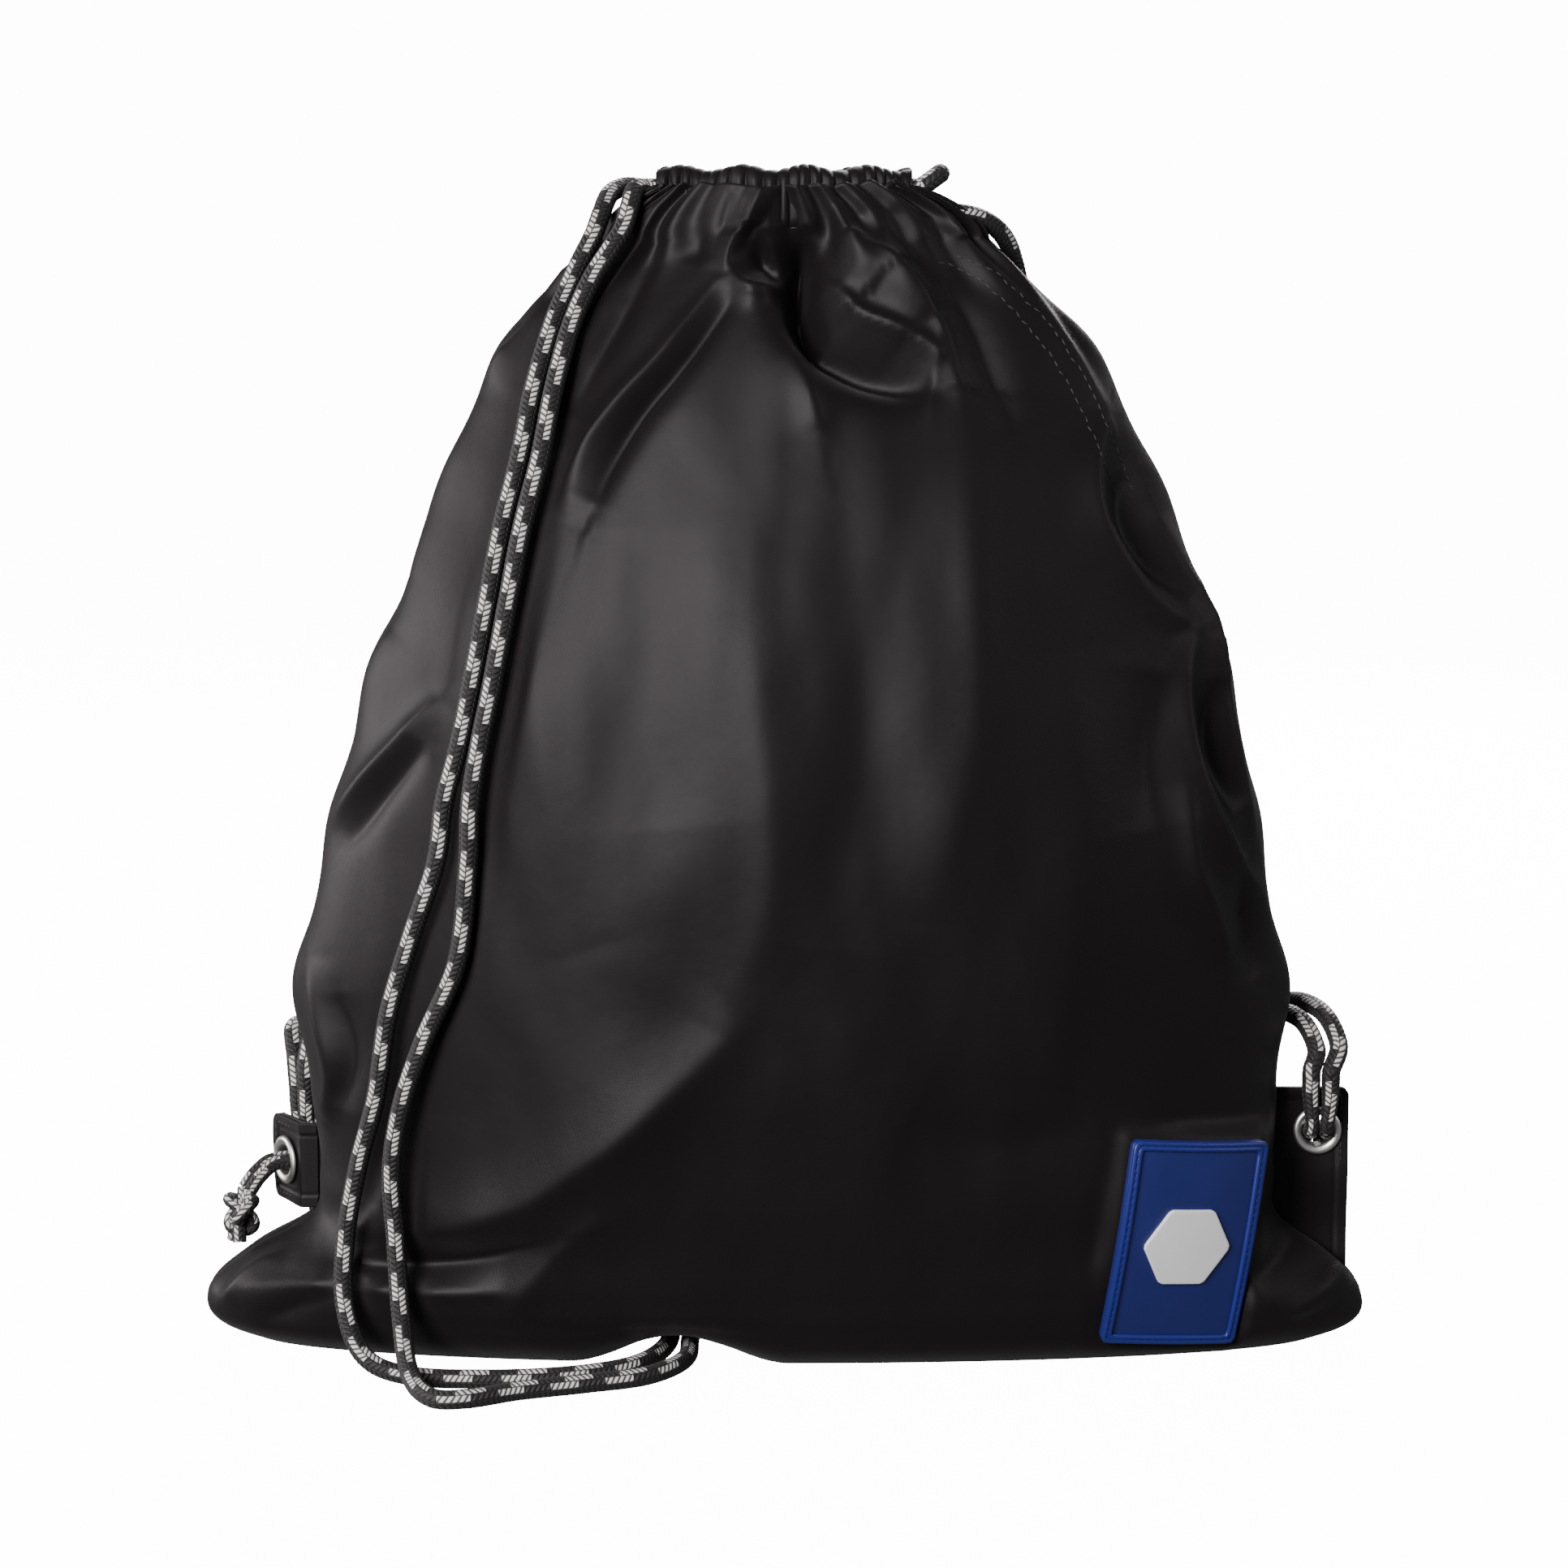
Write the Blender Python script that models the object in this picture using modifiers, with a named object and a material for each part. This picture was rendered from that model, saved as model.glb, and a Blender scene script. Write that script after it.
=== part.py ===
"""Drawstring backpack: a stuffed cloth bag whose two drawcords are also its shoulder straps.

+Z is up and the front faces -Y. The origin lies on the floor under the middle of the bag.
Every length in this file is in millimetres; MM turns a length into metres.
"""
import math

import bmesh
import bpy
from mathutils import Matrix, Vector

MM = 0.001

# Cloth
CLOTH = 2.0             # wall of the bag with its small folds
GAP = 0.3               # clearance between neighbouring pieces
BASE_Z = 1.8            # inner face of the base, whose outside is trimmed flat at 0
CORD_LIFT = 10.5        # how far the cloth rides up over the cords under the base
CORD_TUNNEL_X = -36.0   # where the cords cross under the base
CORD_LIFT_REACH = 38.0  # half the width of cloth that rides up over them
CORD_LIFT_HEIGHT = 22.0  # the ride-up has died out this far above the base

# Each level of the bag: height, left edge, right edge, depth from the seam to the front or back.
BAG_LEVELS = [
    (BASE_Z, -184, 186, 36),
    (6, -195, 197, 46),
    (17, -201.5, 201.5, 56),
    (30, -188, 190, 61),
    (44, -165, 172, 65),
    (60, -161, 170, 69),
    (92, -164, 171, 74),
    (130, -167, 172, 77),
    (180, -157, 164, 79),
    (228, -142, 152, 76),
    (272, -127, 140, 68),
    (312, -110, 121, 56),
    (346, -94, 103, 42),
    (381.5, -62, 68, 23),
]
BASE_SEAM_HALF = 174.0  # half length of the seam under the base
PANEL_COLUMNS = 16
SEAM_WIDTH = 7.0        # seam allowance, folded to the inside
SEAM_THICK = 0.9
SEAM_INSET = 2.2        # from the seam line to the start of its allowance

# Gathered mouth
MOUTH_HALF_LENGTH = 43.0
MOUTH_END_Y = 7.0
MOUTH_BULGE = 13.0      # how far the middle of a lip stands out from its ends
LIP_POINTS = 17
CHANNEL_BOTTOM = 384.6
CHANNEL_TOP = 406.0
CHANNEL_THICK = 11.0
LOWER_CORD_Z = 391.0
UPPER_CORD_Z = 399.3
TUNNEL_WIDTH = 7.6
LIP_HINGE_Y = 26.5
LIP_HINGE_Z = 384.0

# Cords
CORD_RADIUS = 3.25
SQUEEZED_RADIUS = 2.45  # a strand where two of them share one eyelet
CORD_STEP = 15.0        # distance between points along a cord
TAIL_STEP = 2.5
CORD_EXIT_X = 43.8      # where a cord leaves the lips
TURN_POINTS = 9
TURN_STUB = 2.0
STRAP_SPLIT_Z = 72.0    # the loose upper stretch of a strap ends here
KNOT_RADIUS = 7.0

# Side tabs and eyelets
TAB_THICK = 3.0
TAB_START = 1.2
TAB_WIDTH = 20.8
TAB_BELOW = 15.0
TAB_ABOVE = 15.0
TAB_ROUNDING = 1.0
EYELET_OFFSET = 11.0    # hinge line to eyelet centre
EYELET_HOLE_RADIUS = 5.25
BARREL_RADIUS = 6.0
FLANGE_RADIUS = 8.5
FLANGE_THICK = 1.3
WASHER_RADIUS = 8.0
WASHER_THICK = 1.0
TURN_STEPS = 20         # facets round an eyelet
LEFT_TAB_HINGE = (-168.5, 0.0, 61.0)
RIGHT_TAB_HINGE = (175.5, 0.0, 74.0)
LEFT_TAB_TURN = math.radians(122)
RIGHT_TAB_TURN = 0.0

# Rubber patch, measured in its own plane
PATCH_CENTRE = (134.0, 46.0)
PATCH_LEAN = math.radians(7)
PATCH_WIDTH = 47.0
PATCH_HEIGHT = 72.0
PATCH_BASE_THICK = 1.4
PATCH_RIM = 3.4
PATCH_LAYER = 0.8
EMBLEM_RADIUS = 15.0
PATCH_STANDOFF = 1.9
PATCH_COLUMNS = 6
PATCH_ROWS = 8

COLOURS = {
    "black_twill": ((0.035, 0.030, 0.033), 0.45, 0.0),
    "black_lining_tape": ((0.02, 0.02, 0.02), 0.8, 0.0),
    "black_braid": ((0.02, 0.02, 0.02), 0.8, 0.0),
    "nickel": ((0.72, 0.72, 0.70), 0.25, 1.0),
    "navy_rubber": ((0.01, 0.02, 0.16), 0.5, 0.0),
    "blue_rubber": ((0.02, 0.06, 0.42), 0.45, 0.0),
    "white_rubber": ((0.80, 0.81, 0.82), 0.5, 0.0),
}

for leftover in list(bpy.data.objects):
    bpy.data.objects.remove(leftover, do_unlink=True)
parts = bpy.data.collections.new("drawstring_backpack")
cutters = bpy.data.collections.new("cutters")
for collection in (parts, cutters):
    bpy.context.scene.collection.children.link(collection)


def make_material(name):
    colour, roughness, metallic = COLOURS[name]
    material = bpy.data.materials.new(name)
    material.use_nodes = True
    shader = material.node_tree.nodes["Principled BSDF"]
    shader.inputs["Base Color"].default_value = (*colour, 1.0)
    shader.inputs["Roughness"].default_value = roughness
    shader.inputs["Metallic"].default_value = metallic
    return material


materials = {name: make_material(name) for name in COLOURS}


def add_part(name, mesh, material_name, matrix=None):
    obj = bpy.data.objects.new(name, mesh)
    mesh.materials.clear()
    mesh.materials.append(materials[material_name])
    parts.objects.link(obj)
    if matrix is not None:
        obj.matrix_world = matrix
    return obj


def add_cutter(name, mesh, matrix=None):
    obj = bpy.data.objects.new(name, mesh)
    cutters.objects.link(obj)
    obj.hide_render = True
    obj.display_type = "WIRE"
    if matrix is not None:
        obj.matrix_world = matrix
    return obj


def cut(obj, cutter):
    modifier = obj.modifiers.new("Cut " + cutter.name, "BOOLEAN")
    modifier.operation = "DIFFERENCE"
    modifier.solver = "EXACT"
    modifier.object = cutter


def thicken(obj, thickness):
    modifier = obj.modifiers.new("Thickness", "SOLIDIFY")
    modifier.thickness = thickness * MM
    modifier.offset = 1.0
    modifier.use_even_offset = True


# ---------------------------------------------------------------- bag surface

def level_at(z):
    """Left edge, right edge and depth of the bag at a height, straight between two levels."""
    for low, high in zip(BAG_LEVELS, BAG_LEVELS[1:]):
        if z <= high[0]:
            break
    share = min(1.0, max(0.0, (z - low[0]) / (high[0] - low[0])))
    return [a + (b - a) * share for a, b in zip(low[1:], high[1:])]


def surface_point(x, z, side):
    """A point on the stitched surface of the front (side -1) or the back (side 1)."""
    left, right, depth = level_at(z)
    across = (2 * x - left - right) / (right - left)
    return Vector((x, side * depth * math.sqrt(max(0.0, 1 - across * across)), z))


def surface_normal(x, z, side):
    step = 2.0
    along_x = surface_point(x + step, z, side) - surface_point(x - step, z, side)
    along_z = surface_point(x, z + step, side) - surface_point(x, z - step, side)
    return (along_x.cross(along_z) * -side).normalized()


def cord_lift(x, z):
    """How far the cloth rises over the cord pair near the base."""
    away = abs(x - CORD_TUNNEL_X) / CORD_LIFT_REACH
    fade = max(0.0, 1 - (z - BASE_Z) / CORD_LIFT_HEIGHT)
    return CORD_LIFT * max(0.0, 1 - away) * fade


def grid_mesh(name, columns, rows, place, flip):
    """A unit grid whose vertices are moved by place(u, v), with u and v from 0 to 1."""
    grid = bmesh.new()
    bmesh.ops.create_grid(grid, x_segments=columns, y_segments=rows, size=0.5)
    for vertex in grid.verts:
        vertex.co = place(vertex.co.x + 0.5, vertex.co.y + 0.5) * MM
    if flip:
        bmesh.ops.reverse_faces(grid, faces=grid.faces)
    mesh = bpy.data.meshes.new(name)
    grid.to_mesh(mesh)
    grid.free()
    return mesh


def build_panel(name, side):
    """Half of the bag: from the seam under the base, round the bottom edge, up to the mouth."""
    rows = len(BAG_LEVELS)

    def place(u, v):
        row = round(v * rows)
        angle = math.pi * (u - 0.5)
        if row == 0:
            x = BASE_SEAM_HALF * math.sin(angle)
            return Vector((x, side * GAP / 2, BASE_Z + cord_lift(x, BASE_Z)))
        z, left, right, depth = BAG_LEVELS[row - 1]
        x = (left + right) / 2 + (right - left) / 2 * math.sin(angle)
        y = max(GAP / 2, depth * math.cos(angle))
        return Vector((x, side * y, z + cord_lift(x, z)))

    mesh = grid_mesh(name, PANEL_COLUMNS, rows, place, flip=side > 0)
    mesh.shade_smooth()
    panel = add_part(name, mesh, "black_twill")
    thicken(panel, CLOTH)
    cut(panel, floor_cutter)


def build_floor_cutter():
    box = bmesh.new()
    bmesh.ops.create_cube(box, size=1.0)
    mesh = bpy.data.meshes.new("floor_cutter")
    box.to_mesh(mesh)
    box.free()
    matrix = Matrix.Translation((0, 0, -0.01)) @ Matrix.Diagonal((0.6, 0.4, 0.02, 1))
    return add_cutter("floor_cutter", mesh, matrix)


def build_seam(name, rows, edge_point, inward):
    """The folded seam allowance inside the bag: a thin strip along a seam."""
    def place(u, v):
        point = edge_point(v * rows)
        return point + inward * (SEAM_INSET + u * SEAM_WIDTH) - Vector((0, SEAM_THICK / 2, 0))

    mesh = grid_mesh(name, 1, rows, place, flip=inward.x > 0 or inward.z > 0)
    seam = add_part(name, mesh, "black_lining_tape")
    seam.modifiers.new("Thickness", "SOLIDIFY").thickness = -SEAM_THICK * MM
    return seam


def side_seam_point(side):
    def point(row):
        level = BAG_LEVELS[min(len(BAG_LEVELS) - 1, round(row) + 2)]
        return Vector((level[1] if side < 0 else level[2], 0, level[0]))
    return point


def base_seam_point(column):
    x = BASE_SEAM_HALF * math.sin(math.pi * ((round(column) + 2) / PANEL_COLUMNS - 0.5))
    return Vector((x, 0, BASE_Z + cord_lift(x, BASE_Z)))


# ---------------------------------------------------------------- curves

def smooth_path(route, step):
    """Points about one step apart on a smooth curve through the route's own points."""
    route = [Vector(point) for point in route]
    padded = [2 * route[0] - route[1], *route, 2 * route[-1] - route[-2]]
    dense = []
    for p0, p1, p2, p3 in zip(padded, padded[1:], padded[2:], padded[3:]):
        for i in range(12):
            t = i / 12
            dense.append(0.5 * (2 * p1 + (p2 - p0) * t + (2 * p0 - 5 * p1 + 4 * p2 - p3) * t ** 2
                                + (3 * p1 - p0 - 3 * p2 + p3) * t ** 3))
    dense.append(route[-1])
    lengths = [0.0]
    for a, b in zip(dense, dense[1:]):
        lengths.append(lengths[-1] + (b - a).length)
    count = max(2, round(lengths[-1] / step))
    path = []
    index = 0
    for i in range(count + 1):
        wanted = lengths[-1] * i / count
        while index < len(dense) - 2 and lengths[index + 1] < wanted:
            index += 1
        share = (wanted - lengths[index]) / (lengths[index + 1] - lengths[index])
        path.append(dense[index].lerp(dense[index + 1], share))
    return path


def curve_mesh(name, points, radius=0.0, profile=None):
    """A tube, or a profile swept along the points, as a closed mesh."""
    curve = bpy.data.curves.new(name, "CURVE")
    curve.dimensions = "3D"
    curve.use_fill_caps = True
    spline = curve.splines.new("POLY")
    spline.points.add(len(points) - 1)
    for slot, point in zip(spline.points, points):
        slot.co = (*(point * MM), 1.0)
    outline = None
    if profile:
        curve.twist_mode = "Z_UP"
        curve.bevel_mode = "OBJECT"
        outline = add_profile(name, profile)
        curve.bevel_object = outline
    else:
        curve.bevel_depth = radius * MM
        curve.bevel_resolution = 2
    obj = bpy.data.objects.new(name, curve)
    bpy.context.scene.collection.objects.link(obj)
    evaluated = obj.evaluated_get(bpy.context.evaluated_depsgraph_get())
    mesh = bpy.data.meshes.new_from_object(evaluated)
    welded = bmesh.new()
    welded.from_mesh(mesh)
    bmesh.ops.remove_doubles(welded, verts=welded.verts, dist=0.00001)
    bmesh.ops.recalc_face_normals(welded, faces=welded.faces)
    welded.to_mesh(mesh)
    welded.free()
    mesh.name = name
    bpy.data.objects.remove(obj, do_unlink=True)
    if outline:
        bpy.data.objects.remove(outline, do_unlink=True)
    return mesh


def add_profile(name, points):
    curve = bpy.data.curves.new(name + "_profile", "CURVE")
    curve.dimensions = "2D"
    spline = curve.splines.new("POLY")
    spline.points.add(len(points) - 1)
    for slot, (x, y) in zip(spline.points, points):
        slot.co = (x * MM, y * MM, 0, 1.0)
    spline.use_cyclic_u = True
    obj = bpy.data.objects.new(name + "_profile", curve)
    bpy.context.scene.collection.objects.link(obj)
    return obj


def rounded_slot(width, height):
    """An upright slot outline with round ends."""
    radius = width / 2
    straight = height / 2 - radius
    points = []
    for end in (1, -1):
        for i in range(6):
            angle = math.pi * i / 5 + (0 if end > 0 else math.pi)
            points.append((radius * math.cos(angle), end * straight + radius * math.sin(angle)))
    return points


# ---------------------------------------------------------------- gathered mouth

def lip_route(side, z, beyond=0.0):
    """The line along the middle of one lip of the mouth, from the left end to the right end."""
    points = []
    for i in range(LIP_POINTS):
        share = 2 * i / (LIP_POINTS - 1) - 1
        y = MOUTH_END_Y + MOUTH_BULGE * (0.5 + 0.5 * math.cos(math.pi * share))
        points.append(Vector((MOUTH_HALF_LENGTH * share, side * y, z)))
    if beyond:
        points.insert(0, points[0] - Vector((beyond, 0, 0)))
        points.append(points[-1] + Vector((beyond, 0, 0)))
    return points


def build_channel(name, side):
    """The hem tunnel along one lip, open at both ends for the cords."""
    middle = (CHANNEL_BOTTOM + CHANNEL_TOP) / 2
    height = CHANNEL_TOP - CHANNEL_BOTTOM
    outer = rounded_slot(CHANNEL_THICK, height)
    mesh = curve_mesh(name, lip_route(side, middle), profile=outer)
    mesh.shade_smooth()
    hinge = Matrix.Translation((0, side * LIP_HINGE_Y * MM, LIP_HINGE_Z * MM))
    mesh.transform(hinge.inverted())
    channel = add_part(name, mesh, "black_twill", hinge)
    tunnel_z = (LOWER_CORD_Z + UPPER_CORD_Z) / 2
    tunnel_height = UPPER_CORD_Z - LOWER_CORD_Z + TUNNEL_WIDTH
    tunnel = curve_mesh(name + "_tunnel", lip_route(side, tunnel_z, beyond=4.0),
                        profile=rounded_slot(TUNNEL_WIDTH, tunnel_height))
    cut(channel, add_cutter(name + "_tunnel", tunnel))
    return channel


def build_mouth_cords():
    """Both cords run through both lips; each turns round at the end that it doesn't leave by."""
    for side, lip in ((-1, "front"), (1, "back")):
        for name, z in (("left_cord_", UPPER_CORD_Z), ("right_cord_", LOWER_CORD_Z)):
            mesh = curve_mesh(name + lip + "_run", lip_route(side, z), CORD_RADIUS)
            mesh.shade_smooth()
            add_part(name + lip + "_run", mesh, "black_braid")
    for name, end, z, rise in (("left_cord_turn", 1, UPPER_CORD_Z, 5.0),
                               ("right_cord_turn", -1, LOWER_CORD_Z, 0.0)):
        path = [Vector((end * CORD_EXIT_X, -MOUTH_END_Y, z))]
        for i in range(TURN_POINTS):
            angle = math.pi * (i / (TURN_POINTS - 1) - 0.5)
            out = CORD_EXIT_X + TURN_STUB + MOUTH_END_Y * math.cos(angle)
            path.append(Vector((end * out, MOUTH_END_Y * math.sin(angle), z + rise * math.cos(angle))))
        path.append(Vector((end * CORD_EXIT_X, MOUTH_END_Y, z)))
        mesh = curve_mesh(name, path, CORD_RADIUS)
        mesh.shade_smooth()
        add_part(name, mesh, "black_braid")


# ---------------------------------------------------------------- strap cords

# The left pair: out of the mouth, down the front, along the floor and under the base, then up
# behind the bag to the left eyelet. Strand a is the outer one.
LEFT_STRAND_A = [
    (-43.8, 7, 399.3), (-47, 7, 399.3), (-53.5, 4, 400), (-58.5, -4, 397.5), (-61, -11.5, 391.5),
    (-63.5, -17, 384), (-68, -20, 375), (-72.5, -23, 365), (-77, -27, 354), (-83, -35, 333),
    (-87, -43, 312), (-93, -48, 288), (-98, -54, 262), (-103, -58, 236), (-107, -60, 217),
    (-112, -61, 198), (-115, -61, 178), (-124, -58, 152), (-132, -56, 126), (-137, -52, 97),
    (-144, -46, 72), (-149, -43, 46), (-149, -48, 24), (-142, -56, 9), (-127, -62, 3.9),
    (-100, -66, 3.8), (-72, -62, 3.8), (-51, -50, 3.8), (-40.8, -28, 3.9), (-39.6, 0, 3.9),
    (-41, 30, 3.9), (-48, 56, 3.8), (-68, 78, 3.8), (-98, 86, 3.8), (-130, 78, 3.8),
    (-152, 60, 8), (-160, 46, 24), (-159, 39, 50), (-159, 37, 80), (-161, 31, 100),
    (-166.5, 17.5, 103.5), (-168.5, 10.4, 94), (-168.4, 10.2, 84), (-168.4, 10.2, 79.3),
]
LEFT_STRAND_B = [
    (-43.8, -7, 399.3), (-46.3, -7, 399.3), (-49.8, -12.3, 398.6), (-51.5, -18, 393),
    (-53.5, -21, 386), (-58, -23.5, 378.5), (-64, -26, 369), (-70.5, -31, 354), (-76, -40, 333),
    (-80, -47, 312), (-86, -53, 288), (-91, -58, 262), (-96, -62, 236), (-100, -64, 217),
    (-103, -66, 198), (-104, -66, 178), (-108, -65, 146), (-120, -61, 118), (-128, -57, 95),
    (-132, -53, 72), (-131, -52, 48), (-129, -58, 24), (-125, -72, 8), (-117, -86, 3.9),
    (-105, -88, 3.8), (-88, -79, 3.8), (-66, -71, 3.8), (-46, -62, 3.8), (-34, -44, 3.9),
    (-32.6, -20, 3.9), (-32.6, 10, 3.9), (-34, 40, 3.9), (-40, 66, 3.8), (-60, 88, 3.8),
    (-96, 95, 3.8), (-136, 86, 3.8), (-161, 68, 9), (-170, 52, 28), (-168, 46, 54),
    (-168, 43, 84), (-170, 36, 102), (-174.5, 25, 105), (-173, 17.4, 96), (-172.1, 16.1, 84),
    (-172.1, 16.1, 79.3),
]
# The right pair: out of the mouth, down behind the bag to the floor, then over the right tab
# into its eyelet from the front. Strand b is the outer one.
RIGHT_STRAND_A = [
    (43.8, -7, 391), (49, -7, 391), (58, -8, 391), (67, -4, 389), (74.5, 4, 383.5),
    (79, 13, 374), (82.5, 26, 357), (80, 40, 335), (77, 51, 312), (73, 61, 287), (69, 70, 259),
    (64, 77, 229), (61, 81, 196), (60, 83, 164), (61, 84, 130), (63, 84, 98), (65, 84, 72),
    (68, 85, 44), (72, 88, 20), (80, 97, 7), (92, 107, 3.8), (112, 112, 3.8), (138, 104, 3.8),
    (158, 88, 3.8), (168, 66, 8), (167, 48, 26), (164.5, 39, 54), (163, 38, 84), (166, 33, 103),
    (173.5, 19, 112), (181, 4, 112), (185, -6, 104), (183.3, -8.2, 97), (183.2, -8, 93), (183.2, -8, 88.4),
]
RIGHT_STRAND_B = [
    (43.8, 7, 391), (48, 7, 391), (54, 9.5, 391.5), (60.5, 13, 388.5), (66.5, 18, 381.5),
    (69.5, 24.5, 372), (72, 33.5, 356), (72, 43.5, 336), (69, 54.5, 312), (65, 64, 287),
    (60.5, 72, 259), (56, 79, 229), (53, 83, 196), (52, 85, 164), (53, 86, 130), (55, 86, 98),
    (57, 86, 72), (59.5, 87, 44), (62.5, 92, 20), (69, 103, 7), (84, 116, 3.8), (112, 121, 3.8),
    (144, 112, 3.8), (166, 94, 4), (177, 72, 10), (175, 54, 28), (172.5, 47, 54), (171, 46, 84),
    (174, 40, 106), (181, 24, 115), (189, 7, 114), (193, -4.5, 105), (190.2, -8.2, 97),
    (190, -8, 93), (190, -8, 88.4),
]


def build_strand(name, route):
    """One strand of a strap: its loose upper stretch, and its lower stretch along the floor."""
    path = [Vector(route[0]), *smooth_path(route[1:-1], CORD_STEP), Vector(route[-1])]
    split = next(i for i, point in enumerate(path) if point.z < STRAP_SPLIT_Z)
    onward = (path[split + 1] - path[split]).normalized()
    for suffix, points in (("_upper", path[:split + 1]),
                           ("_lower", [path[split] + onward * GAP * 2, *path[split + 1:]])):
        mesh = curve_mesh(name + suffix, points, CORD_RADIUS)
        mesh.shade_smooth()
        add_part(name + suffix, mesh, "black_braid")


# ---------------------------------------------------------------- side tabs, eyelets and knots

def turned(name, profile, material_name, matrix):
    """A profile of radius and height pairs, listed top to bottom outside, turned round Z."""
    mesh = bpy.data.meshes.new(name)
    vertices = [(radius * MM, 0, height * MM) for radius, height in profile]
    edges = [(i, (i + 1) % len(profile)) for i in range(len(profile))]
    mesh.from_pydata(vertices, edges, [])
    obj = add_part(name, mesh, material_name, matrix)
    screw = obj.modifiers.new("Turn", "SCREW")
    screw.steps = TURN_STEPS
    screw.render_steps = TURN_STEPS
    screw.merge_threshold = 0.00001
    screw.use_merge_vertices = True
    return obj


def cylinder_mesh(name, radius, length, sides=24):
    shape = bmesh.new()
    bmesh.ops.create_cone(shape, cap_ends=True, segments=sides, radius1=radius * MM,
                          radius2=radius * MM, depth=length * MM)
    mesh = bpy.data.meshes.new(name)
    shape.to_mesh(mesh)
    shape.free()
    return mesh


def build_tab(side_name, hinge, turn, outer):
    """A doubled cloth tab on its sewn line, with a two-part eyelet, and the knotted cord ends.

    The tab runs along its own +X from the hinge line. outer is the side of it, +1 or -1 along
    its own Y, that carries the eyelet's flange.
    """
    frame = Matrix.Translation(Vector(hinge) * MM) @ Matrix.Rotation(turn, 4, "Z")
    box = bmesh.new()
    bmesh.ops.create_cube(box, size=1.0)
    for vertex in box.verts:
        x = TAB_START + (vertex.co.x + 0.5) * TAB_WIDTH
        z = -TAB_BELOW if vertex.co.z < 0 else TAB_ABOVE
        vertex.co = Vector((x, vertex.co.y * TAB_THICK, z)) * MM
    mesh = bpy.data.meshes.new("eyelet_tab_" + side_name)
    box.to_mesh(mesh)
    box.free()
    tab = add_part("eyelet_tab_" + side_name, mesh, "black_twill", frame)
    rounding = tab.modifiers.new("Soft edges", "BEVEL")
    rounding.width = TAB_ROUNDING * MM
    rounding.segments = 2

    through = Matrix.Translation((EYELET_OFFSET * MM, 0, 0)) @ Matrix.Rotation(outer * -math.pi / 2, 4, "X")
    hole = add_cutter("eyelet_hole_" + side_name,
                      cylinder_mesh("eyelet_hole", BARREL_RADIUS + GAP, TAB_THICK * 3),
                      frame @ through)
    cut(tab, hole)

    face = TAB_THICK / 2 + GAP
    back = -face - WASHER_THICK - GAP
    flange = [
        (EYELET_HOLE_RADIUS + 1.0, face + FLANGE_THICK),
        (FLANGE_RADIUS - 1.0, face + FLANGE_THICK),
        (FLANGE_RADIUS, face + 0.4),
        (FLANGE_RADIUS, face),
        (BARREL_RADIUS, face),
        (BARREL_RADIUS, back),
        (BARREL_RADIUS + 1.1, back - 0.1),
        (BARREL_RADIUS + 1.0, back - 0.9),
        (EYELET_HOLE_RADIUS, back - 0.8),
        (EYELET_HOLE_RADIUS, face + FLANGE_THICK - 0.8),
    ]
    turned("eyelet_" + side_name, flange, "nickel", frame @ through)
    washer = [
        (BARREL_RADIUS + GAP, -face),
        (WASHER_RADIUS - 0.3, -face),
        (WASHER_RADIUS, -face - 0.3),
        (WASHER_RADIUS - 0.8, -face - WASHER_THICK),
        (BARREL_RADIUS + GAP, -face - WASHER_THICK),
    ]
    turned("eyelet_washer_" + side_name, washer, "nickel", frame @ through)


# The last stretch of each strand, through the eyelet to the knot, in the tab's own frame.
LEFT_TAIL_A = [
    (8.6, -5.5, 18), (8.6, -5.7, 13), (8.5, -7.4, 8.5), (8.4, -8.4, 4), (8.4, -6.6, 0.9),
    (8.4, -4.4, 0), (8.4, 0, 0), (8.4, 4, 0), (8.6, 8, -0.8), (8.6, 13, -4.5), (8.6, 16.5, -8.8),
]
LEFT_TAIL_B = [
    (15.6, -5.5, 18), (15.2, -5.7, 13), (14.2, -7.4, 8.5), (13.6, -8.4, 4), (13.6, -6.6, 0.9),
    (13.6, -4.4, 0), (13.6, 0, 0), (13.6, 4, 0), (13.8, 8, -0.8), (13.8, 13, -4.5),
    (13.8, 16.5, -8.8),
]
RIGHT_TAIL_A = [
    (7.7, -8, 14), (8.0, -8.3, 9), (8.4, -8.2, 4), (8.4, -6.4, 0.9), (8.4, -4.4, 0), (8.4, 0, 0),
    (8.4, 4.6, 0), (8.4, 7.8, -2), (8.4, 9.8, -7.8),
]
RIGHT_TAIL_B = [
    (14.5, -8, 14), (14.2, -8.3, 9), (13.6, -8.2, 4), (13.6, -6.4, 0.9), (13.6, -4.4, 0),
    (13.6, 0, 0), (13.6, 4.6, 0), (13.6, 7.8, -2), (13.6, 9.8, -7.8),
]
LEFT_KNOT = (11.2, 19.0, -16.8)
RIGHT_KNOT = (11.0, 11.5, -15.0)


def build_tails(side_name, hinge, turn, tail_a, tail_b, knot_centre):
    frame = Matrix.Translation(Vector(hinge) * MM) @ Matrix.Rotation(turn, 4, "Z")
    for strand, route in (("a", tail_a), ("b", tail_b)):
        name = side_name + "_tail_" + strand
        mesh = curve_mesh(name, smooth_path(route, TAIL_STEP), SQUEEZED_RADIUS)
        mesh.shade_smooth()
        add_part(name, mesh, "black_braid", frame)
    ball = bmesh.new()
    bmesh.ops.create_uvsphere(ball, u_segments=14, v_segments=9, radius=KNOT_RADIUS * MM)
    mesh = bpy.data.meshes.new(side_name + "_knot")
    ball.to_mesh(mesh)
    ball.free()
    mesh.transform(Matrix.Translation(Vector(knot_centre) * MM) @ Matrix.Diagonal((1.15, 0.9, 0.9, 1)))
    mesh.shade_smooth()
    add_part(side_name + "_knot", mesh, "black_braid", frame)


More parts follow.
